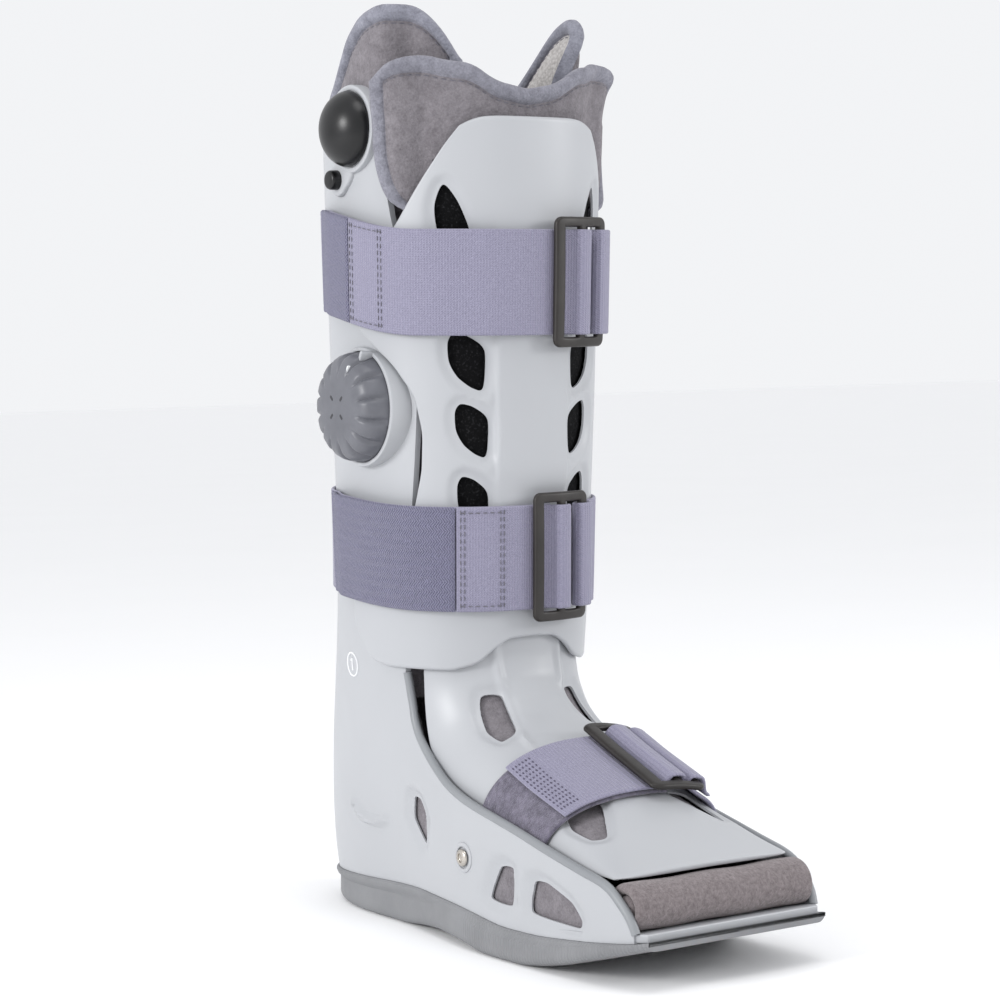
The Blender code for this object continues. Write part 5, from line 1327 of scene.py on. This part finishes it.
cap = turned("release_button_cap", button_face, cap_rows, 64)
dress(cap, bulb_rubber, "bulb_rubber", "release_button", body="release_button")


# Circled mark: a thin ring round one upright stroke, raised on the outer side above the heel. It is
# moulded with the shell and filled in with white paint.
MARK_BACK, MARK_HEIGHT, MARK_RADIUS = 0.0205, 0.125, 0.0058


def on_side(points, proud=0.0001):
    points = np.asarray(points, float)
    return np.column_stack([-(wall_reach(points[:, 0], points[:, 1]) + proud), points])


turns = np.linspace(0.0, 2.0 * math.pi, 72, endpoint=False)
ring = np.column_stack([MARK_BACK + MARK_RADIUS * np.cos(turns), MARK_HEIGHT + MARK_RADIUS * np.sin(turns)])
dress(tube("mark_ring", on_side(ring), 0.00045, 8, closed=True), mark_paint, "shell_plastic")
stroke = along_line([(MARK_BACK + 0.0014, MARK_HEIGHT + 0.0018), (MARK_BACK, MARK_HEIGHT + 0.0032),
                     (MARK_BACK, MARK_HEIGHT - 0.0030)], 0.0004)
dress(tube("mark_stroke", on_side(stroke), 0.00045, 8), mark_paint, "shell_plastic")


# Bolts: two steel side bolts through the tray walls under the foot strap. Each head has a socket and
# sits in a ring that is moulded with the shell.
BOLT_RADIUS, BOLT_HEIGHT, BOLT_REACH = 0.0042, 0.047, 0.381
bolt_y = -BOLT_REACH * FOOT_REACH
bolt_x = float(side_half_width(bolt_y, BOLT_HEIGHT))
bolt_place = (-bolt_x, bolt_y, BOLT_HEIGHT)
bolt_rows = [(-0.0024, 0.0020), (0.0008, 0.0020)]
bolt_rows += [(out, size * BOLT_RADIUS) for out, size in ((0.0008, 1.0), (0.0020, 0.92), (0.0024, 0.60),
                                                          (0.0024, 0.50), (0.0013, 0.46), (0.0013, 0.04))]
bolt_rows = cut_corners(bolt_rows, 1, closed=False)
steel = surface("bolt steel", (0.55, 0.52, 0.47), 0.30, [(300.0,), (0.48, 0.45, 0.41), (0.62, 0.58, 0.53)],
                [((2200.0, 2.0), 0.12, 0.0001)], [(700.0,), 0.22, 0.40], Metallic=1.0)
for name, side in (("lateral", -1.0), ("medial", 1.0)):
    bolt = turned("bolt_%s_head" % name, bolt_place, bolt_rows, 48)
    seat_ring = collar("bolt_%s_seat" % name, bolt_place, 0.0072, 0.0010, 0.0052)
    for piece in (bolt, seat_ring):
        if side > 0.0:
            piece.data.transform(Matrix.Scale(-1.0, 4, (1.0, 0.0, 0.0)))
            piece.data.flip_normals()
    dress(bolt, steel, "steel", "bolt_" + name)
    dress(seat_ring, shell_plastic, "shell_plastic")


# Studio: a plain pale floor, three soft lights round the boot and a pale sky. The camera looks at the
# toe and the outer side from a little above the knee.
floor_mesh = bpy.data.meshes.new("studio_floor")
FLOOR_HALF = 40.0
floor_corners = [(FLOOR_HALF * x, FLOOR_HALF * y, 0.0) for x, y in ((-1, -1), (1, -1), (1, 1), (-1, 1))]
floor_mesh.from_pydata(floor_corners, [], [(0, 1, 2, 3)])
studio_floor = put_in_scene("studio_floor", floor_mesh)
floor_paint = surface("pale floor paint", (0.92, 0.92, 0.925), 0.75,
                      [(3.0,), (0.965, 0.965, 0.97), (0.975, 0.975, 0.98)], Specular_IOR_Level=0.2)
floor_mesh.materials.append(floor_paint)
studio_floor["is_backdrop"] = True

sky = bpy.data.worlds.new("pale studio")
bpy.context.scene.world = sky
sky.use_nodes = True
sky.node_tree.nodes["Background"].inputs["Color"].default_value = (0.97, 0.98, 1.0, 1.0)
sky.node_tree.nodes["Background"].inputs["Strength"].default_value = 0.92
bpy.context.scene.view_settings.view_transform = "Standard"


def soft_light(name, place, target, size, power):
    lamp = bpy.data.lights.new(name, "AREA")
    lamp.shape = "DISK"
    lamp.size = size
    lamp.energy = power
    holder = put_in_scene(name, lamp)
    holder.location = place
    holder.rotation_euler = (Vector(target) - Vector(place)).to_track_quat("-Z", "Y").to_euler()


soft_light("light_left", (-1.7, -0.1, 0.75), (0.0, 0.0, 0.22), 0.55, 15.0)
soft_light("light_right", (1.25, -1.15, 0.65), (0.0, 0.0, 0.22), 0.45, 7.0)
soft_light("light_top", (-0.2, -0.7, 1.9), (0.0, -0.05, 0.1), 0.9, 6.0)

camera_data = bpy.data.cameras.new("camera")
camera_data.lens = 95.94
camera_data.sensor_width = 36.0
camera_data.clip_start = 0.05
camera = put_in_scene("camera", camera_data)
ahead = lean(np.array([0.5600, 0.8239, -0.0872]))
rightwards = lean(np.array([0.8271, -0.5621, 0.0]))
upwards = np.cross(rightwards, ahead)
place = lean(np.array([-0.7280, -1.1061, 0.3218]))
turned_camera = np.column_stack([rightwards, upwards, -ahead, place]).tolist()
camera.matrix_world = Matrix(turned_camera + [[0.0, 0.0, 0.0, 1.0]])
bpy.context.scene.camera = camera

boxes = [[list(map(float, corner)) for corner in box] for box in (solid_box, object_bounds())]
